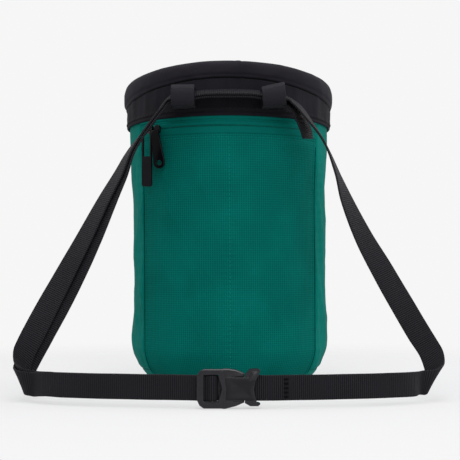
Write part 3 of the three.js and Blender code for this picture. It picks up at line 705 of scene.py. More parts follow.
@dataclass(frozen=True)
class Stitches:
    """A row of thread stitches: short tubes that rise from the cloth and dip in at both ends."""

    length: float = 2.2
    gap: float = 0.8
    radius: float = 0.2
    sink: float = 0.12
    rings: int = 5
    sides: int = 6

    def add(self, draft: Draft, path: Array, out: Array) -> None:
        """Adds stitches along a path.

        Each stitch follows the path between two lengths. It lies out by its radius times the
        square root of the sine of its share, less the sink, and its radius shrinks at the ends.

        Args:
            draft: the mesh that they go into.
            path: points of the seam on the cloth, one row each.
            out: the direction away from the cloth at each point.
        """
        along = lengths_along(path)
        many = max(1, int(along[-1] / (self.length + self.gap)))
        starts = (np.arange(many) + 0.5) * along[-1] / many - self.length / 2
        share = np.linspace(0, 1, self.rings)
        at = starts[:, None] + share * self.length
        centre = np.stack([np.interp(at, along, path[:, i]) for i in range(3)], -1)
        lift = unit(np.stack([np.interp(at, along, out[:, i]) for i in range(3)], -1))
        heading = unit(np.gradient(centre, axis=1))
        side = unit(np.cross(heading, lift))
        rise = np.sqrt(np.sin(np.pi * share)) * self.radius - self.sink
        centre = centre + lift * rise[None, :, None]
        angle = np.linspace(0, 2 * np.pi, self.sides + 1)
        thin = (0.55 + 0.45 * np.sin(np.pi * share)) * self.radius
        ring = (side[:, :, None] * np.cos(angle)[:, None] + lift[:, :, None]
                * np.sin(angle)[:, None]) * thin[None, :, None, None]
        rings = centre[:, :, None] + ring
        chart = np.zeros(rings.shape[:3] + (2,))
        chart[..., 0] = angle * self.radius
        chart[..., 1] = (share * self.length)[None, :, None]
        draft.grids(rings, chart)
        for end in (0, -1):
            cap = np.stack([rings[:, end], np.broadcast_to(centre[:, end, None],
                                                           rings[:, end].shape)], 1)
            draft.grids(cap)


def thread_line(draft: Draft, path: Array, out: Array, radius: float) -> None:
    """Adds an unbroken line of thread along a path on the cloth.

    Each ring stands square to the path: the outward direction times the sine of its angle, plus
    the sideways direction times the cosine, both times the radius.

    Args:
        draft: the mesh that it goes into.
        path: points of the seam on the cloth, one row each.
        out: the direction away from the cloth at each point.
        radius: the thread's radius in millimetres.
    """
    side = unit(np.cross(np.gradient(path, axis=0), out))
    angle = np.linspace(0, 2 * np.pi, 7)[:, None]
    rings = path[:, None] + radius * (side[:, None] * np.cos(angle) + out[:, None] * np.sin(angle))
    chart = spread(angle[:, 0] * radius, lengths_along(path)[:, None])
    draft.tube(rings, chart)


@dataclass
class BagBody:
    """The green cup: side cloth, base, top edge and inner wall in one closed shell.

    The piping's rows are height, turn past the side seam and width, both in radians.
    """

    columns: int = 320
    wall: float = 1.6
    fold_depth: float = 1.0
    base_seam_height: float = 12.6
    piping: tuple = ((0.7, 0.03, 0.012), (-0.8, 0.008, 0.006), (-0.35, 0.055, 0.006))
    base_ridges: tuple = ((0.35, 2.2, 1.6), (-0.6, 0.0, 0.7))
    recess: float = 0.35

    def relief(self, turn: Array, height: Array) -> Array:
        """Folds on the side cloth: long ones that lean, fading under the yoke and the panel."""
        long_folds = Folds(7, (3, 9), (0.4, 1.6)).relief(turn, height)
        creases = Folds(19, (14, 30), (0.2, 2.4)).relief(turn, height)
        half = FORM.pocket_edge
        outside = ease(np.abs(turn), half - 0.005, half + 0.05)
        near_seam = bump(np.abs(turn), half + 0.12, 0.16)
        slack = ease(height, 2, 26) * (1 - ease(height, 150, FORM.hem.side - 2))
        folds = self.fold_depth * (0.8 * long_folds + 0.35 * creases * (0.5 + near_seam))
        puckers = 0.16 * near_seam * np.sin(height * 0.9 + 3 * np.sin(height * 0.05))
        piping = ridges(np.abs(turn) - half, self.piping) * ease(height, 4, 14)
        base_seam = ridges(height - self.base_seam_height, self.base_ridges)
        return outside * slack * (folds + puckers) + piping + base_seam \
            - self.recess * (1 - outside)

    def build(self) -> bpy.types.Object:
        """Profile rows from the middle of the base, up the outside, over the edge and back."""
        half = FORM.pocket_edge
        fine = half + np.linspace(-0.02, 0.08, 34)
        turn = np.linspace(-np.pi, np.pi, self.columns + 1)
        coarse = turn[(np.abs(turn) < half - 0.025) | (np.abs(turn) > half + 0.085)]
        turn = np.sort(np.concatenate([coarse, fine, -fine]))[None, :]
        top = FORM.seam.side - FORM.clearance
        base_radius = FORM.body_radius - FORM.corner_inset
        corner_out, corner_up = FORM.corner_path(0.0, 30)
        walls_up = np.linspace(FORM.corner_height, top, 96)[1:]
        radius = np.concatenate([np.linspace(0, base_radius, 9)[:-1], corner_out,
                                 FORM.wall_radius(walls_up)])
        height = np.concatenate([np.zeros(8), corner_up, walls_up])
        slope = np.stack([np.gradient(height), -np.gradient(radius)], -1)
        normal = unit(slope)
        moved = self.relief(turn, height[:, None]) * ease(radius, base_radius - 6,
                                                         base_radius + 4)[:, None]
        outer = FORM.place(turn, radius[:, None] + moved * normal[:, :1],
                           np.maximum(height[:, None] + moved * normal[:, 1:], 0.0))
        inner_out, inner_up = FORM.corner_path(self.wall, 14)
        inner_walls = np.linspace(FORM.corner_height, top, 24)[1:]
        inner_radius = np.concatenate([np.linspace(0, base_radius, 6)[:-1], inner_out,
                                       FORM.wall_radius(inner_walls) - self.wall])[::-1]
        inner_height = np.concatenate([np.full(5, self.wall), inner_up, inner_walls])[::-1]
        soft = 0.5 * Folds(3, (4, 12), (0.2, 1.2)).relief(turn, inner_height[:, None])
        calm = ease(inner_height, 6, 30) * (1 - ease(inner_height, 150, 176))
        inner = FORM.place(turn, inner_radius[:, None] - np.maximum(0, soft * calm[:, None]),
                           inner_height[:, None])
        draft = Draft()
        for surface, radii, heights in ((outer, radius, height), (inner, inner_radius,
                                                                  inner_height)):
            drop = lengths_along(np.stack([radii, heights], -1))
            chart = spread(turn * FORM.body_radius, drop[:, None])
            draft.grid(surface, chart)
        lip = np.stack([outer[-1], inner[0]])
        draft.grid(lip, np.stack([chart[0], chart[0]]))
        piece = draft.build("bag_cloth", [SIDE_CLOTH_AND_SHEEN.material()], weld=0.01)
        settle(piece, "green_cloth", "bag_shell")
        return piece


@dataclass
class ZipPocket:
    """The pocket on the belt side: ripstop panel, zip strip, coil and their stitches.

    The rows of under_zip and hem_rows are ridges: height, distance from the panel's top edge or
    from the hem, and width.
    """

    panel_wall: float = 1.0
    edge_round: float = 1.1
    centre_stitch: float = 0.3
    base_seam: float = 12.6
    centre_edge: float = 3.0
    edge_row: float = 3.4
    seam_inset: float = 0.7
    # Radii of the very dark lines in the side seams and the base seam, which are painted shade of
    # the grooves.
    seam_shade_thread: float = 0.3
    base_thread: float = 0.28
    under: float = -0.1
    teeth: int = 150
    tooth_steps: int = 8
    thread_radius: float = 0.2
    under_zip: tuple = ((-0.3, 2.2, 0.7), (0.25, 5.5, 3.0))
    hem_rows: tuple = ((0.3, -0.6, 0.8), (-0.4, -1.9, 0.35), (-0.4, -3.1, 0.35))
    centre_stitches: Stitches = Stitches(length=1.7, gap=0.9, radius=0.22, sink=0.1)
    edge_shade_stitches: Stitches = Stitches(length=1.8, gap=0.9, radius=0.13, sink=0.1)
    level_stitches: Stitches = Stitches(length=1.9, gap=0.8, radius=0.15, sink=0.1)

    def panel_offset(self, turn: Array, height: Array) -> Array:
        """How far the panel's face stands off the side cloth."""
        half = FORM.pocket_edge
        from_side = (half - np.abs(turn)) * FORM.wall_radius(height)
        from_top = FORM.panel_top - height
        edges = np.sqrt(np.clip(1 - (1 - np.clip(np.minimum(from_side, from_top + 0.45)
                                                 / self.edge_round, 0, 1)) ** 2, 0, 1))
        across = turn * FORM.body_radius
        bulge = 0.5 * ease(from_side, 0, 22) * ease(height, 10, 60)
        topstitch = -0.5 * bump(from_side, self.edge_row, 0.5)
        under_zip = ridges(from_top, self.under_zip)
        pucker = 0.11 * np.sin(height * 1.9 + 2 * np.sin(height * 0.11)) * (
            bump(across, self.centre_stitch, 5) + 0.8 * bump(from_side, 4, 4))
        past_edge = ease(across, self.centre_edge - 0.25, self.centre_edge + 0.25)
        fold_edge = 0.3 * (1 - past_edge) * ease(across, -12, 0)
        seam = -0.16 * bump(across, self.centre_stitch, 0.5)
        ripple = 0.45 * Folds(31, (5, 16), (0.3, 1.6)).relief(turn, height)
        ripple = ripple * ease(from_side, 2, 20)
        calm = ease(height, 12, 40) * ease(from_top, 1, 20)
        return FORM.clearance + self.panel_wall * (0.25 + 0.75 * edges) + edges * (
            bulge + topstitch + under_zip + pucker + fold_edge + seam + ripple * calm) - 0.3

    def corner_shift(self, height: Array) -> tuple[Array, Array]:
        """Outward direction of the cloth at a height, as parts along the radius and along Z.

        The slope is the radii's difference over a tenth of a millimetre of height.
        """
        height = np.asarray(height, float)
        slope = (FORM.wall_radius(height + 0.05) - FORM.wall_radius(height - 0.05)) / 0.1
        slope = np.where(height < FORM.corner_height, slope, 0.0)
        size = np.sqrt(1 + slope**2)
        return 1 / size, -slope / size

    def skin(self, turn: Array, height: Array, off: Array) -> Array:
        """Points that stand off the side cloth by a distance along its normal."""
        out, down = self.corner_shift(height)
        return FORM.place(turn, FORM.wall_radius(height) + off * out, height + off * down)

    def build(self) -> None:
        """Makes the panel, the strip, the coil and the stitch rows."""
        self.build_panel()
        self.build_strip()
        self.build_stitches()

    def build_panel(self) -> None:
        """The ripstop panel as a slab with rounded edges."""
        half = FORM.pocket_edge
        rim = np.array([0, 0.15, 0.4, 0.7, 1.1, 1.7]) / FORM.body_radius
        middle = np.linspace(-half + 0.036, half - 0.036, 190)
        turn = np.concatenate([-half + rim, middle, half - rim[::-1]])[None, :]
        foot = np.array([0, 0.2, 0.6, 1.2])
        ends = np.array([4.0, 2.6, 1.8, 1.1, 0.7, 0.4, 0.15, 0])
        height = np.concatenate([FORM.panel_foot + foot,
                                 np.linspace(FORM.panel_foot + 2, FORM.panel_top - 5, 190),
                                 FORM.panel_top - ends])[:, None]
        outer = self.skin(turn, height, self.panel_offset(turn, height))
        inner = self.skin(turn, height, np.full((1, 1), self.under))
        path = np.stack([FORM.wall_radius(height[:, 0]), height[:, 0]], -1)
        drop = lengths_along(path)[:, None]
        chart = spread(turn * FORM.body_radius, drop)
        draft = Draft()
        slab(draft, outer, inner, chart)
        piece = settle(draft.build("pocket_cloth", [RIPSTOP.material()]), "green_ripstop",
                       "pocket_panel")

    def build_strip(self) -> None:
        """The strip: a face over the slit and one under it, with the coil between them."""
        half = FORM.pocket_edge
        turn = np.linspace(-half, half, 220)[None, :]
        slit = FORM.hem.side - FORM.zip_drop
        foot = FORM.panel_top + 0.08
        top = FORM.hem.side - 0.1
        rows = np.concatenate([
            foot + np.array([0, 0.12, 0.35, 0.8]), np.linspace(foot + 1.4, slit - 2.0, 8),
            slit - np.array([1.5, 1.15, 0.95, 0.8, 0.7]), [slit - 0.62, slit + 0.2],
            slit + np.array([0.28, 0.5, 0.8, 1.3]), np.linspace(slit + 1.9, top - 0.4, 22), [top]])
        above = rows - slit
        lip = 0.3 * np.sqrt(np.clip((above - 0.28) / 0.7, 0, 1)) * (above > 0.25)
        under = 0.30 * np.sqrt(np.clip((-above - 0.62) / 0.6, 0, 1)) * (above < -0.6)
        crest = ridges(rows - top, self.hem_rows) + 0.12 * bump(above, 2.3, 0.8)
        foot_round = -0.12 * (1 - np.sqrt(np.clip((rows - foot) / 0.8, 0, 1)))
        off = 0.75 + lip + under + crest + foot_round
        off = np.where(np.abs(above + 0.2) < 0.45, 0.52, off)[:, None]
        wander = 0.12 * Folds(12, (10, 34), (0.1, 0.5)).relief(turn, rows[:, None] * 0 + slit)
        closed = 0.05 + 0.8 * ease(turn, -0.1, 0.5) + 0.5 * ease(-turn, 0.35, 0.65)
        levels = rows[:, None] - closed * bump(above, 0.35, 0.45)[:, None]
        outer = self.skin(turn, levels, off + wander)
        inner = self.skin(turn, levels, np.full((1, 1), self.under))
        chart = spread(turn * FORM.hem_radius, rows[:, None])
        draft = Draft()
        slab(draft, outer, inner, chart)
        piece = draft.build("zip_strip_cloth", [STRIP_CLOTH.material()])
        settle(piece, "green_cloth", "zip_strip")
        self.build_coil(slit)

    def build_coil(self, slit: float) -> None:
        """The coil: one thread that winds along the slit."""
        steps = self.teeth * self.tooth_steps
        beads = np.linspace(-FORM.pocket_edge + 0.02, FORM.pocket_edge - 0.02, steps)
        swirl = np.arange(steps) * 2 * np.pi / self.tooth_steps
        centre = self.skin(beads, slit - 0.2 + 0.32 * np.sin(swirl), 0.68 + 0.14 * np.cos(swirl))
        heading = unit(np.gradient(centre, axis=0))
        side = unit(np.cross(heading, np.array([0.0, 0.0, 1.0])))
        coil = Draft()
        thread_line(coil, centre, np.cross(side, heading), self.thread_radius)
        settle(coil.build("zip_coil", [ZIP_COIL.material()]), "green_cloth")

    def build_stitches(self) -> None:
        """Stitch rows: down the middle, inside both side seams, and over and under the zip."""
        half = FORM.pocket_edge
        draft = Draft()
        # The side and base seam lines and the rows inside the side seams are very dark thread:
        # painted shade of the seam grooves.
        seams = Draft()
        upright = np.linspace(12, FORM.panel_top - 5, 260)
        inset = self.edge_row / FORM.body_radius
        edge = half - self.seam_inset / FORM.body_radius
        middle = self.centre_stitch / FORM.body_radius
        for turn in (middle, -edge, edge, half - inset, inset - half):
            turns = np.full(upright.shape, turn)
            path = self.skin(turns, upright, self.panel_offset(turns, upright))
            out = unit(self.skin(turns, upright, np.full(upright.shape, 5.0)) - path)
            if turn == middle:
                self.centre_stitches.add(draft, path, out)
            elif abs(turn) == edge:
                thread_line(seams, path, out, self.seam_shade_thread)
            else:
                self.edge_shade_stitches.add(seams, path, out)
        round_base = np.linspace(half, 2 * np.pi - half, 500)
        level = np.full(round_base.shape, self.base_seam)
        turn_back = np.where(round_base > np.pi, round_base - 2 * np.pi, round_base)
        path = self.skin(round_base, level, BagBody().relief(turn_back, level) + 0.06)
        out = self.skin(round_base, level, np.full(level.shape, 5.0)) - path
        thread_line(seams, path, unit(out), self.base_thread)
        settle(seams.build("side_seam_shade", [SEAM_SHADE_THREAD.material()]), "green_cloth")
        turns = np.linspace(-half + 0.03, half - 0.03, 400)
        for height, off in ((FORM.hem.side - 2.0, 0.42), (FORM.hem.side - 3.2, 0.42),
                            (FORM.panel_top - 2.2, 1.0)):
            heights = np.full(turns.shape, height)
            off_cloth = off if height > FORM.panel_top else self.panel_offset(turns, heights)
            path = self.skin(turns, heights, off_cloth)
            out = self.skin(turns, heights, np.full(turns.shape, 8.0)) - path
            self.level_stitches.add(draft, path, unit(out))
        settle(draft.build("green_stitches", [GREEN_THREAD.material()]), "green_ripstop")


@dataclass
class Yoke:
    """The black band under the rim, with a rounded hem and a seam at the belt side.

    The rows of the ridges are height, place and width, with the place across the belt side or
    above the hem.
    """

    columns: int = 320
    hem_round: float = 1.1
    hem_depth: float = 0.7
    stitch_height: float = 2.2
    seam_ridges: tuple = ((-0.7, -1.2, 0.5), (0.35, 0.4, 1.0), (-0.22, 1.4, 0.3))
    hem_ridges: tuple = ((-0.5, 1.4, 0.4), (0.25, 2.3, 0.6))
    hem_stitches: Stitches = Stitches(length=2.1, gap=0.9, radius=0.16, sink=0.1)

    def relief(self, turn: Array, height: Array) -> Array:
        """Soft folds, the upright seam with its two lines, and a tuck above the hem."""
        across = turn * FORM.yoke_radius
        folds = 0.5 * Folds(41, (8, 26), (0.3, 2.4)).relief(turn, height)
        seam = ridges(across, self.seam_ridges)
        back = -0.4 * bump(np.abs(turn), np.pi, 0.012)
        fade = ease(height, FORM.hem.side + 0.5, FORM.hem.side + 3)
        return (folds + seam + back) * fade + ridges(height - FORM.hem.side, self.hem_ridges)

    def build(self) -> None:
        """A slab from the hem to the rim's seam, and its row of hem stitches."""
        turn = np.linspace(-np.pi, np.pi, self.columns + 1)[None, :]
        foot, top = FORM.hem.side, FORM.seam.side - 0.15
        edge = np.array([0, 0.12, 0.35, 0.7, 1.1])
        rows = np.concatenate([foot + edge, np.linspace(foot + 1.4, foot + 3.4, 10),
                               np.linspace(foot + 4.0, top, 32)])
        share = np.clip((rows - foot) / self.hem_round, 0, 1)
        round_off = self.hem_depth * (1 - np.sqrt(1 - (1 - share) ** 2))
        radius = FORM.yoke_radius - round_off[:, None] + self.relief(turn, rows[:, None])
        outer = FORM.place(turn, radius, rows[:, None])
        under = FORM.hem_radius + FORM.clearance - 0.1 + round_off[:, None]
        inner = FORM.place(turn, under, rows[:, None])
        chart = spread(turn * FORM.yoke_radius, rows[:, None])
        draft = Draft()
        slab(draft, outer, inner, chart, (np.s_[0], np.s_[-1]))
        piece = settle(draft.build("yoke_cloth", [YOKE_CLOTH.material()]), "black_cloth",
                       "yoke_band")
        tall = FORM.seam.at(turn[0]) - FORM.hem.at(turn[0])
        turns = np.linspace(-np.pi, np.pi, 1400)
        heights = np.full(turns.shape, foot + self.stitch_height)
        radii = FORM.yoke_radius + self.relief(turns, heights)
        path = FORM.place(turns, radii, heights)
        out = np.stack([np.sin(turns), -np.cos(turns), 0 * turns], -1)
        stitches = Draft()
        self.hem_stitches.add(stitches, path, out)
        settle(stitches.build("yoke_stitches", [BLACK_THREAD.material()]), "black_cloth")


@dataclass
class Inflation:
    """A short cloth simulation that swells a padded piece, held along its sewn edge."""

    pressure: float = 40.0
    mass: float = 0.01
    frames: int = 20
    cap: float = 0.6

    def swell(self, piece: bpy.types.Object, sewn: Array) -> float:
        """Runs the simulation and puts its result into the mesh.

        A point's move keeps its direction, and its length becomes the cap times the hyperbolic
        tangent of length over cap, so that it never passes the cap.

        Args:
            piece: the padded object, a closed mesh.
            sewn: numbers of the points that stay where they are.
        """
        group = piece.vertex_groups.new(name="sewn")
        group.add(sewn.tolist(), 1.0, "REPLACE")
        cloth = piece.modifiers.new("cloth", "CLOTH")
        cloth.settings.quality = 5
        cloth.settings.mass = self.mass
        cloth.settings.use_pressure = True
        cloth.settings.uniform_pressure_force = self.pressure
        cloth.settings.effector_weights.gravity = 0.0
        cloth.settings.vertex_group_mass = group.name
        cloth.point_cache.frame_start = 1
        cloth.point_cache.frame_end = self.frames
        for frame_number in range(1, self.frames + 1):
            bpy.context.scene.frame_set(frame_number)
        start = self.points(piece.data)
        shown = piece.evaluated_get(bpy.context.evaluated_depsgraph_get())
        move = self.points(shown.to_mesh()) - start
        shown.to_mesh_clear()
        piece.modifiers.remove(cloth)
        piece.vertex_groups.remove(group)
        size = np.maximum(np.linalg.norm(move, axis=1, keepdims=True), 1e-9)
        capped = self.cap * MM * np.tanh(size / (self.cap * MM))
        end = start + move / size * capped
        piece.data.vertices.foreach_set("co", end.ravel().astype(np.float32))
        piece.data.update()
        bpy.context.scene.frame_set(1)
        return float(capped.mean() / MM)

    @staticmethod
    def points(mesh: bpy.types.Mesh) -> Array:
        """A mesh's points, one row each, in metres."""
        flat = np.empty(len(mesh.vertices) * 3)
        mesh.vertices.foreach_get("co", flat)
        return flat.reshape(-1, 3)


@dataclass
class PaddedRim:
    """The padded roll round the mouth.

    The rows of the ridges are height, place and width: the joint's place in millimetres across
    the belt side, the welt's in degrees round the section.
    """

    depth: float = 10.5
    overhang: float = 2.1
    boxiness: float = 0.8
    top_heavy: float = 0.08
    sewn_height: float = 1.6
    joint: tuple = ((-1.2, 9.5, 0.6), (0.5, 7.8, 1.2), (-0.2, -10.5, 0.6))
    welt: tuple = ((0.5, -54, 10), (-0.4, -34, 7))
    columns: int = 300
    steps: int = 44

    def relief(self, turn: Array, angle: Array) -> Array:
        """Soft dents, two cross seams at the belt side and a welt just above the yoke's seam."""
        across = turn * FORM.yoke_radius
        dents = 0.32 * Folds(53, (5, 18), (0.0, 0.6)).relief(turn, 60 * np.sin(angle))
        behind = -0.5 * bump(np.abs(turn), np.pi, 0.01)
        turned = np.degrees(np.arctan2(np.sin(angle), np.cos(angle)))
        return dents + ridges(across, self.joint) + behind + ridges(turned, self.welt)

    def build(self) -> None:
        """An egg-shaped section, boxed by a power of the sine and cosine, carried round."""
        foot, crest = FORM.seam.side, FORM.crest.side
        half = (crest - foot) / 2
        outer = FORM.yoke_radius + self.overhang
        turn = np.linspace(-np.pi, np.pi, self.columns + 1)[None, :]
        angle = np.linspace(0, 2 * np.pi, self.steps + 1)[:, None]
        up = np.sign(np.sin(angle)) * np.abs(np.sin(angle)) ** self.boxiness
        side = np.sign(np.cos(angle)) * np.abs(np.cos(angle)) ** self.boxiness
        swell = (1 + self.top_heavy * up) / (1 + self.top_heavy / 2)
        relief = self.relief(turn, angle)
        radius = outer - self.depth / 2 + (self.depth / 2 * swell + relief) * side
        height = (foot + crest) / 2 + (half + 0.6 * relief) * up
        points = FORM.place(turn, radius, height)
        round_length = lengths_along(np.stack([radius[:, 0], height[:, 0]], -1))[:, None]
        chart = spread(turn * outer, round_length)
        draft = Draft()
        draft.grid(points, chart)
        piece = settle(draft.build("rim_padding", [RIM_CLOTH.material()]), "black_cloth",
                       "rim_roll")
        place = Inflation.points(piece.data) / MM
        low = FORM.place(np.arctan2(place[:, 0], -place[:, 1]), outer, np.full(len(place), foot))
        sewn = np.flatnonzero(place[:, 2] < low[:, 2] + self.sewn_height)
        LOG.info("rim swelled by %.2f mm on average", Inflation().swell(piece, sewn))


@dataclass(frozen=True)
class LoopPlace:
    """Where a webbing loop sits and how it hangs.

    Across is its place from the bag's middle, yaw and roll are in degrees, slant is the rise of
    its upper edge for each millimetre across, and lift is how far its lower edge is drawn up.
    """

    name: str
    across: float
    yaw: float
    roll: float
    slant: float
    lift: float


@dataclass
class BeltLoops:
    """The two webbing loops on the yoke."""

    width: float = 15.0
    thickness: float = 1.4
    stand: float = 22.4
    height: float = 15.8
    top: float = 199.6
    corner: float = 2.6
    drawn_depth: float = 30.0
    edge_radius: float = 0.5
    bulge: float = 2.3
    draw_in: float = 1.6
    places: tuple[LoopPlace, ...] = (
        LoopPlace("belt_loop_left", across=-30.3, yaw=-1.0, roll=0.0, slant=0.0, lift=2.2),
        LoopPlace("belt_loop_right", across=27.5, yaw=1.0, roll=-5.0, slant=0.14, lift=2.2),
    )

    def build(self) -> None:
        """Each loop is a rounded hoop in the upright plane, carried across the strap's width."""
        for at in self.places:
            self.build_loop(at)

    def build_loop(self, at: LoopPlace) -> None:
        """One loop, whose back leg lies on the yoke's curve."""
        reach = float(np.sqrt(FORM.yoke_radius**2 - at.across**2)) + self.stand
        middle = self.thickness / 2
        hoop = rounded_section(self.drawn_depth, self.height - self.thickness, self.corner, 10, 5)
        share = hoop[:, 0] / self.drawn_depth + 0.5
        section = rounded_section(self.width, self.thickness, self.edge_radius, 12, 3)
        tangent = unit(np.gradient(hoop, axis=0))
        tangent[0] = tangent[-1] = unit(tangent[0] + tangent[-1])
        normal = np.stack([tangent[:, 1], -tangent[:, 0]], -1)
        across = section[:, 0][None, :]
        out = section[:, 1][None, :]
        curve = FORM.yoke_radius + 0.35 + middle
        back = np.sqrt(np.maximum(curve**2 - (at.across + across) ** 2, 1.0))
        front = reach - middle - 0.25 * (2 * across / self.width) ** 2
        away = back + share[:, None] * (front - back) + normal[:, :1] * out
        raised = np.clip(hoop[:, 1] / (self.height / 2) * 0.5 + 0.5, 0, 1)
        bulge = self.bulge * np.sin(np.pi * raised) - self.draw_in
        away = away + (bulge * ease(share, 0.9, 1.0))[:, None]
        up = hoop[:, 1][:, None] + normal[:, 1:] * out
        upper = ease(up, -2.0, self.height / 2)
        up = up + at.slant * across * upper + at.lift * (1 - upper)
        local = spread(across, -away, up - self.height / 2)
        yaw, roll = np.radians([at.yaw, at.roll])
        x, y, z = local[..., 0], local[..., 1] + reach, local[..., 2]
        x, y = x * np.cos(yaw) - y * np.sin(yaw), x * np.sin(yaw) + y * np.cos(yaw) - reach
        x, z = x * np.cos(roll) + z * np.sin(roll), z * np.cos(roll) - x * np.sin(roll)
        points = np.stack([x + at.across, y, z + self.top], -1)
        chart = spread(across, lengths_along(hoop)[:, None])
        draft = Draft()
        draft.grid(points, chart)
        piece = draft.build(f"{at.name}_web", [LOOP_WEB.material()])
        settle(piece, "black_webbing", at.name)


@dataclass(frozen=True)
class Track:
    """A webbing's way: middles, directions across the strap, and stretches, sampled densely."""

    centre: Array
    across: Array
    stretch: Array

    def reversed(self) -> "Track":
        """The same way walked backwards."""
        return Track(self.centre[::-1], self.across[::-1], self.stretch[::-1])

    def mirrored(self) -> "Track":
        """The same way on the other side of the bag."""
        flip = np.array([-1.0, 1.0, 1.0])
        return Track(self.centre * flip, self.across * flip, self.stretch)

    def face(self) -> Array:
        """The direction out of the strap's face: heading crossed with across."""
        return unit(np.cross(np.gradient(self.centre, axis=0), self.across))

    def joined(self, *others: "Track") -> "Track":
        """This way followed by others."""
        every = (self, *others)
        return Track(*(np.concatenate([getattr(each, part) for each in every])
                       for part in ("centre", "across", "stretch")))


@dataclass
class Belt:
    """The waist belt, one 15 mm webbing from its sewn end to its free end.

    Its tables hold shares of the strap's width, unless the column says more:
    loop_rows: share of the loop's place, rise, and twist in degrees.
    left_riser, right_riser: share of the way down, bow, twist in degrees, slip.
    left_fold, right_fold: inward, back, up, lean in degrees, stretch of the width, slip.
    front_rows: share of the reach, and share of the way forward.
    tail_rows: out, drop, dive and twist in degrees.
    creases: height and distance from the free end, in millimetres.
    sway: size in millimetres, radians for each millimetre, and phase.
    """

    width: float = 15.0
    thickness: float = 1.4
    pitch: float = 1.56
    looseness: float = 2.4
    tail_slack: float = 0.5
    reach: float = 132.0
    front: float = 147.0
    corner_front: float = 110.0
    run_height: float = 12.0
    stand: float = 1.4
    curve: float = 0.8
    loop_middle: float = BeltLoops.top - BeltLoops.height / 2 + 0.9
    left_loop: float = 30.3
    right_loop: float = 28.2
    ladder_bar: float = -10.6
    ladder_turn: float = 2.9
    ladder_inset: float = 2.65
    wrap_shift: float = 0.15
    fixed_bar: float = 13.4
    fixed_bar_depth: float = -145.15
    fixed_turn: float = 2.45
    frame_left: float = -19.4
    button_right: float = 17.8
    sewn: float = 18.0
    edge_radius: float = 0.55
    cupping: float = 0.1
    crease_width: float = 1.2
    steps: int = 14
    spacing: float = 0.55
    tack_stitches: Stitches = Stitches(length=2.6, gap=0.1, radius=0.24, sink=0.06)
    tack_half_height: float = 5.2
    tack_half_width: float = 1.5
    tack_bow: float = 0.018

    loop_rows: tuple = ((0.0, 0.18, 18), (0.08, 0.18, 18), (0.6, 0.15, 18), (1.0, 0.02, 19),
                        (1.3, -0.04, 15))
    left_riser: tuple = (
        (0.05, 0.13, 8, 0.0), (0.104, 0.24, 6, 0.02), (0.208, 0.42, 14, 0.04),
        (0.291, 0.38, 26, 0.16), (0.38, 0.4, 34, 0.29), (0.506, 0.37, 46, 0.36),
        (0.632, 0.36, 58, 0.38), (0.757, 0.36, 72, 0.36), (0.845, 0.35, 82, 0.32))
    right_riser: tuple = (
        (0.035, 0.24, 19, 0), (0.098, 0.39, 14, 0), (0.187, 0.5, 6, 0), (0.291, 0.34, 14, 0),
        (0.37, 0.16, 32, 0), (0.492, 0.02, 52, 0), (0.619, 0.03, 72, 0), (0.746, 0.06, 84, 0),
        (0.84, 0.1, 88, 0))
    left_fold: tuple = (
        (0.22, 0.56, 1.1, 38, 1.0, 0.3), (0.14, 0.36, 0.58, 52, 1.06, 0.22),
        (0.21, 0.02, 0.24, 66, 1.08, 0.14), (0.42, -0.2, 0.09, 76, 1.02, 0.1),
        (0.8, -0.3, 0.0, 86, 1.0, 0.06))
    right_fold: tuple = (
        (0.42, 0.56, 1.1, 32, 1.0, 0), (0.3, 0.36, 0.6, 44, 1.08, 0),
        (0.36, 0.02, 0.2, 56, 1.18, 0), (0.58, -0.22, 0.02, 70, 1.1, 0),
        (0.98, -0.32, 0.0, 84, 1.0, 0))
    front_rows: tuple = ((0.85, 0.36), (0.76, 0.54), (0.57, 0.74), (0.36, 0.9), (0.22, 0.98))
    tail_rows: tuple = (
        (0.21, 0.14, 8, 28), (0.6, 0.6, 52, 26), (0.76, 0.94, 60, 28), (0.95, 1.32, 66, 32),
        (1.04, 1.72, 82, 28))
    creases: tuple = ((0.5, 15.0), (-0.3, 12.6))
    sway: tuple = ((0.03, 0.21, 0.0), (0.025, 0.083, 1.0))

    def leaning(self, heading: Array, twist: float) -> Array:
        """The near edge's direction: straight at the viewer, turned to the inside by twist."""
        near = unit(np.array([0.0, -1.0, 0.0]) + heading * heading[1])
        inside = unit(np.cross(near, heading))
        angle = np.radians(twist)
        return near * np.cos(angle) + inside * np.sin(angle)

    def beside_yoke(self, across: float) -> float:
        """Depth of the belt's middle where it passes the yoke: a flattened circle."""
        hug = FORM.yoke_radius + self.width / 2 + self.stand
        return -float(np.sqrt(hug**2 - (self.curve * across) ** 2))

    def loop_knots(self, loop: float, count: int = 5) -> list:
        """Knots from the middle out through a loop: centre, across, stretch and slip."""
        rows = []
        for along, up, twist in self.loop_rows[:count]:
            centre = [-along * loop, self.beside_yoke(along * loop),
                      self.loop_middle + up * self.width]
            rows.append((centre, self.leaning(np.array([-1.0, 0, 0]), twist), 1.0, 0.0))
        return rows

    def half_knots(self, riser: tuple, fold: tuple, loop: float, end: float) -> list:
        """Knots of half the belt, drawn on the left: loop, riser, fold and front run."""
        rows = self.loop_knots(loop)
        start = np.array(rows[-1][0])
        corner = np.array([-self.reach, -self.corner_front + 0.4 * self.width, self.run_height])
        slope = unit(corner - start)
        outward = unit(np.array([slope[2], 0.0, -slope[0]]))
        for down, bow, twist, slip in riser:
            centre = start + (corner - start) * down + outward * bow * self.width
            rows.append((centre, self.leaning(slope, twist), 1.0, slip))
        for inward, back, up, lean, stretch, slip in fold:
            centre = [-self.reach + inward * self.width, -self.corner_front + back * self.width,
                      self.run_height + up * self.width]
            angle = np.radians(lean)
            rows.append((centre, np.array([np.cos(angle), 0.0, -np.sin(angle)]), stretch, slip))
        for across, forward in self.front_rows:
            depth = -self.corner_front + forward * (end + self.corner_front)
            rows.append(([-across * self.reach, depth, self.run_height], self.down(), 1.0, 0.0))
        return rows

    @staticmethod
    def down() -> Array:
        """The near edge of a strap that stands on its edge."""
        return np.array([0.0, 0.0, -1.0])

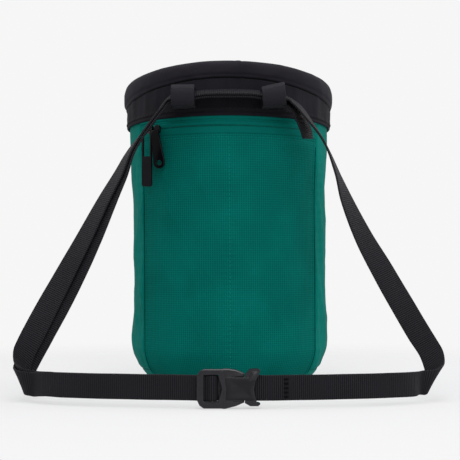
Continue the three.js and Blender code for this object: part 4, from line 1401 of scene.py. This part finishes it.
    def bar_knots(self, at: float, depth: float, radius: float, start: float, end: float) -> list:
        """Knots round a bar: a circle of the given radius between two angles."""
        angles = np.radians(np.linspace(start, end, 8))
        return [([at + radius * np.cos(a), depth + radius * np.sin(a), self.run_height],
                 self.down(), 1.0, 0.0) for a in angles]

    def track(self, knots: list, rests: Array | None = None) -> Track:
        """Samples knots into a track, set off by rests of (lift, slip) for each knot."""
        centres = smooth_curve(np.array([np.asarray(k[0], float) for k in knots]), self.steps)
        across = unit(smooth_curve(np.array([unit(k[1]) for k in knots]), self.steps))
        if rests is None:
            rests = np.zeros((len(knots), 2))
        sides = smooth_curve(np.column_stack([[k[2] for k in knots], rests]), self.steps)
        face = unit(np.cross(np.gradient(centres, axis=0), across))
        moved = centres + face * sides[:, 1:2] + across * sides[:, 2:3] * self.width
        return Track(moved, across, sides[:, 0])

    def whole(self) -> Track:
        """The whole webbing: sewn end, right side, middle, left side, ladder bar, tail."""
        ladder_depth = self.ladder_inset - self.front
        fixed_depth = self.fixed_bar_depth - self.fixed_turn
        left = self.half_knots(self.left_riser, self.left_fold, self.left_loop, ladder_depth)
        left += [([self.frame_left - 4, ladder_depth, self.run_height], self.down(), 1.0, 0.0),
                 ([self.ladder_bar - self.ladder_turn, ladder_depth, self.run_height],
                  self.down(), 1.0, 0.0)]
        wrap = self.bar_knots(self.ladder_bar + self.wrap_shift, -self.front, self.ladder_turn,
                              90, -150)
        right = self.half_knots(self.right_riser, self.right_fold, self.right_loop, fixed_depth)
        right += [([-self.button_right - 4, fixed_depth, self.run_height], self.down(), 1.0, 0.0)]
        right += self.bar_knots(-self.fixed_bar, self.fixed_bar_depth, self.fixed_turn, -90, 118)
        right += [([-self.fixed_bar - share * self.sewn, fixed_depth + self.pitch,
                    self.run_height], self.down(), 1.0, 0.0) for share in (0.3, 0.55, 1.0)]
        rests = np.array([[-self.pitch - self.looseness * k[3], k[3]] for k in left])
        tail_left = self.track(left[:-1], rests[:-1])
        end = self.loop_knots(self.right_loop, 4)
        leave = np.array(self.loop_knots(self.right_loop)[-1][0])
        for out, drop, dive, twist in self.tail_rows:
            angle = np.radians(dive)
            heading = np.array([-np.cos(angle), 0.0, -np.sin(angle)])
            centre = leave + np.array([-out, 0.0, -drop]) * self.width
            end.append((centre, self.leaning(heading, twist), 1.0, 0.0))
        slack = np.array([[-self.pitch - (self.tail_slack if i > 2 else 0), 0.0]
                          for i in range(len(end))])
        tail_right = self.track(end, slack).mirrored()
        main_left = self.track(left + wrap)
        main_right = self.track(right).mirrored()
        return main_right.reversed().joined(main_left, tail_left.reversed(), tail_right)

    def evened(self, way: Track, spacing: float) -> Track:
        """The track at equal steps, with short kinks at its joints averaged away."""
        along = lengths_along(way.centre)
        keep = np.concatenate([[True], np.diff(along) > 1e-4])
        at = np.linspace(0, along[-1], int(along[-1] / spacing))

        def resampled(values: Array) -> Array:
            """Values at the equal steps, averaged over nine neighbours."""
            columns = values.reshape(len(values), -1)[keep]
            new = np.stack([np.interp(at, along[keep], column) for column in columns.T], -1)
            weights = np.hanning(9) / np.hanning(9).sum()
            padded = np.vstack([2 * new[:1] - new[4:0:-1], new, 2 * new[-1:] - new[-2:-6:-1]])
            soft = np.stack([np.convolve(column, weights, "valid") for column in padded.T], -1)
            return soft.reshape((len(at),) + values.shape[1:])

        return Track(resampled(way.centre), unit(resampled(way.across)),
                     resampled(way.stretch))

    def build(self) -> None:
        """The webbing as a rounded strap carried along its track, and its bar tack."""
        way = self.evened(self.whole(), self.spacing)
        face = way.face()
        along = lengths_along(way.centre)
        section = rounded_section(self.width, self.thickness, self.edge_radius, 10, 3)
        left = along[-1] - along
        crease = sum(height * bump(left, place, self.crease_width)
                     for height, place in self.creases)
        sway = sum(size * np.sin(along * pace + phase) for size, pace, phase in self.sway)
        cup = self.cupping * (2 * section[:, 0] / self.width) ** 2
        side = way.across[:, None] * section[None, :, :1] * way.stretch[:, None, None]
        out = face[:, None] * (section[:, 1] + cup + crease[:, None])[..., None]
        middle = way.centre + way.across * sway[:, None]
        rings = middle[:, None] + side + out
        chart = spread(section[:, 0][None, :], along[:, None])
        draft = Draft()
        draft.tube(rings, chart)
        piece = draft.build("belt_web", [BELT_WEB.material()])
        settle(piece, "black_webbing", "belt_left", "belt_right", "belt_tail_left",
               "belt_tail_right")
        LOG.info("belt: %.0f mm of webbing", along[-1])
        self.build_tack()

    def build_tack(self) -> None:
        """The bar tack that holds the sewn end: short dark bars of thread across the strap."""
        depth = self.fixed_bar_depth - self.fixed_turn - self.thickness / 2 - 0.05
        draft = Draft()
        middle = self.fixed_bar + self.sewn + 1.6
        half = self.tack_half_height
        at = np.linspace(middle - self.tack_half_width, middle + self.tack_half_width, 8)
        away = depth + self.tack_bow * (at - self.fixed_bar)
        for up in np.linspace(-half, half, 5) + self.run_height:
            for step in (-0.4, 0.0, 0.4):
                path = spread(at, away, up + step)
                out = np.broadcast_to(np.array([0.0, -1.0, 0.0]), path.shape)
                self.tack_stitches.add(draft, path, out)
        settle(draft.build("bar_tack", [TACK_THREAD.material()]), "black_webbing")


@dataclass
class Buckle:
    """The side release buckle: rounded mouldings, the raised plate on the sleeve and its ribs.

    The button rib's ends are places across and up from the buckle's middle. Its rows are the
    share across the ridge and how far it stands proud. The bars of the window rib are their
    least and greatest place across, nearest and farthest depth, and share of the bend. The
    plate's rows are how far the outline is drawn in and how far it stands proud.
    """

    front: float = -150.75
    middle: float = 11.7
    rounding: float = 0.34
    rib_place: float = -6.7
    rib_bend: float = 0.9
    rib_half: float = 7.4
    sink: float = 0.3
    button_ends: tuple = ((9.9, 4.4), (12.6, 10.9))
    button_rows: tuple = ((0.0, -0.3), (0.0, 0.0), (0.7, 0.62), (1.0, 0.7), (1.4, 0.62),
                          (2.4, 0.0), (2.4, -0.3))
    window_bars: tuple = ((-0.45, 0.45, 2.0, 5.0, 1), (-1.0, 2.4, 5.3, 6.0, 0))
    plate_rows: tuple = ((0.0, -0.2), (0.0, 0.12), (0.2, 0.3), (0.6, 0.4), (2.4, 0.4),
                         (2.8, 0.3), (7.0, 0.28))
    plate_corners: tuple = ((-2.6, -6.6), (4.0, -6.7), (9.0, -6.7), (14.4, -6.3), (13.7, -3.4),
                            (13.2, -0.5), (13.8, 2.8), (14.9, 6.0), (9.0, 6.7), (4.0, 6.7),
                            (-2.6, 6.5), (-2.2, 0.0))

    def build(self) -> None:
        """Both mouldings and the raised plate."""
        for node in ("buckle_female", "buckle_male"):
            piece = moulded(f"{node}_moulding", node, BUCKLE_PLASTIC, self.rounding)
            settle(piece, "black_plastic", node)
        self.build_plate()
        self.build_rib()
        self.build_window_rib()

    def build_rib(self) -> None:
        """The slanted rib of the upper button: a ridge that falls off to both sides."""
        along = np.linspace(0, 1, 8)[:, None]
        across, proud = np.array(self.button_rows).T[:, None]
        start, end = np.array(self.button_ends)
        rise = proud * np.sqrt(np.sin(np.pi * (0.06 + 0.88 * along)))
        points = spread(
            start[0] + (end[0] - start[0]) * along + across * 1.5, self.front - rise,
            start[1] + (end[1] - start[1]) * along - across * 0.35 + self.middle)
        draft = Draft()
        base = points.copy()
        base[..., 1] = self.front + self.sink
        slab(draft, points, base)
        settle(draft.build("button_rib", [BUCKLE_PLASTIC.material()], 50.0), "black_plastic")

    def build_window_rib(self) -> None:
        """The bent rib in the window beside the turned webbing, and the wall behind it."""
        draft = Draft()
        up = np.linspace(-self.rib_half, self.rib_half, 25)
        bend = self.rib_bend * (1 - (up / self.rib_half) ** 2)
        for low, high, near, far, bent in self.window_bars:
            ring = np.array([[low, near + 0.3], [low + 0.3, near], [high - 0.3, near],
                             [high, near + 0.3], [high, far], [low, far], [low, near + 0.3]])
            rings = spread(
                self.rib_place + bent * bend[:, None] + ring[:, 0], self.front + ring[:, 1],
                self.middle + up[:, None])
            draft.tube(rings)
        piece = draft.build("window_rib", [BUCKLE_PLASTIC.material()], 40.0)
        settle(piece, "black_plastic")

    def plate_edge(self, inset: float) -> Array:
        """The raised plate's outline, drawn in by inset, as a ring in the front plane."""
        corners = np.array(self.plate_corners)
        centre = corners.mean(0)
        shrunk = centre + (corners - centre) * (1 - inset / 7.0)
        ring = smooth_curve(np.vstack([shrunk, shrunk[:1]]), 4)
        return np.vstack([ring[:-1], ring[:1]])

    def build_plate(self) -> None:
        """A low plateau: rings of the outline that rise and draw in, closed in the middle."""
        draft = Draft()
        rings = []
        for inset, rise in self.plate_rows:
            flat = self.plate_edge(inset)
            rings.append(np.stack([flat[:, 0], np.full(len(flat), self.front - rise),
                                   flat[:, 1] + self.middle], -1))
        draft.grid(np.stack(rings))
        base = np.broadcast_to(rings[0][:-1].mean(0), rings[0].shape)
        draft.grid(np.stack([rings[0], base]))
        piece = draft.build("buckle_plate", [PLATE_PLASTIC.material()], 40.0)
        settle(piece, "black_plastic")


@dataclass
class ZipHardware:
    """The two sliders and their pulls."""

    rounding: float = 0.32

    def build(self) -> None:
        """Rounded copies of the four small parts."""
        for node, finish, slot in (
            ("zip_slider_plate", PULL_GLOSS, "gloss_black"),
            ("zip_slider_tab", PULL_GLOSS, "gloss_black"),
            ("zip_pull_plate", PULL_GLOSS, "gloss_black"),
            ("zip_pull_tab", PULL_TAB, "black_plastic"),
        ):
            piece = moulded(f"{node}_metal", node, finish, self.rounding, 2)
            settle(piece, slot, node)


@dataclass
class Studio:
    """The pale floor, the soft lights and the camera at the photo's place."""

    distance: float = 0.9
    eye_height: float = 0.086
    focal_length: float = 100.0
    tilt: float = 1.43
    white: float = 0.922
    ambient: float = 0.68
    aim: tuple = (0.0, 0.0, 0.1)
    lamps: tuple = (("key", (-0.1, -1.2, 1.0), 0.9, 11.0),
                    ("overhead", (0.0, -0.15, 1.25), 1.0, 12.0),
                    ("fill", (0.7, -1.2, 0.3), 0.9, 6.0),
                    ("left edge", (-1.1, 0.35, 0.5), 0.7, 3.0),
                    ("right edge", (1.1, 0.35, 0.5), 0.7, 6.0))

    def build(self) -> None:
        """Floor, world, lights and camera."""
        self.build_floor()
        self.build_world()
        for lamp in self.lamps:
            self.light(*lamp)
        self.build_camera()

    def build_floor(self) -> None:
        """A wide disc whose shade is mostly its own pale light, so that shadows stay soft."""
        draft = Draft()
        turn = np.linspace(0, 2 * np.pi, 97)
        radii = np.array([0.0, 150.0, 350.0, 520.0])[:, None]
        disc = spread(radii * np.cos(turn), radii * np.sin(turn), -0.05)
        draft.grid(disc)
        material = bpy.data.materials.new("pale floor")
        material.use_nodes = True
        graph = Graph(material.node_tree)
        shader = material.node_tree.nodes["Principled BSDF"]
        graph.fill(shader, {"Base Color": (0.22, 0.22, 0.225, 1), "Roughness": 0.9,
                            "Specular IOR Level": 0.0, "Emission Color": (1, 1, 1, 1),
                            "Emission Strength": 0.5})
        place = graph.node("ShaderNodeTexCoord").outputs["Object"]
        radius = graph.node("ShaderNodeVectorMath", operation="LENGTH")
        graph.feed(radius.inputs[0], place)
        graph.feed(shader.inputs["Alpha"],
                   graph.ramp(radius.outputs["Value"], 0.24, 0.5, 1.0, 0.0))
        floor = draft.build("floor", [material])
        if floor.data.polygons[0].normal.z < 0:
            floor.data.flip_normals()

    def build_world(self) -> None:
        """A white room: as pale as the photo's background, dimmer as a lamp."""
        world = bpy.data.worlds.new("studio")
        world.use_nodes = True
        bpy.context.scene.world = world
        graph = Graph(world.node_tree)
        background = world.node_tree.nodes["Background"]
        seen = graph.node("ShaderNodeLightPath").outputs["Is Camera Ray"]
        background.inputs["Color"].default_value = (1, 1, 1, 1)
        graph.feed(background.inputs["Strength"],
                   graph.math("MULTIPLY_ADD", seen, self.white - self.ambient,
                              self.ambient))
        bpy.context.scene.view_settings.view_transform = "Standard"

    def light(self, name: str, place: tuple, size: float, power: float) -> None:
        """A square area light at a place, turned to the aim, in metres and watts."""
        lamp = bpy.data.lights.new(name, "AREA")
        lamp.shape = "SQUARE"
        lamp.size = size
        lamp.energy = power
        holder = bpy.data.objects.new(name, lamp)
        holder.location = place
        away = Vector(place) - Vector(self.aim)
        holder.rotation_euler = away.to_track_quat("Z", "Y").to_euler()
        bpy.context.scene.collection.objects.link(holder)

    def build_camera(self) -> None:
        """The camera, a little under the bag's middle and tilted up as in the photo."""
        lens = bpy.data.cameras.new("camera")
        lens.lens = self.focal_length
        lens.sensor_width = 36.0
        camera = bpy.data.objects.new("camera", lens)
        camera.location = (0.0, -self.distance, self.eye_height)
        camera.rotation_euler = (np.radians(90.0 + self.tilt), 0.0, 0.0)
        bpy.context.scene.collection.objects.link(camera)
        bpy.context.scene.camera = camera


def main() -> None:
    """Builds every sub-assembly in order."""
    logging.basicConfig(level=logging.INFO, format="%(message)s")
    for part in (BagBody(), ZipPocket(), Yoke(), PaddedRim(), BeltLoops(), Belt(), Buckle(),
                 ZipHardware(), Studio()):
        part.build()
        LOG.info("built %s", type(part).__name__)


if __name__ == "__main__":
    main()
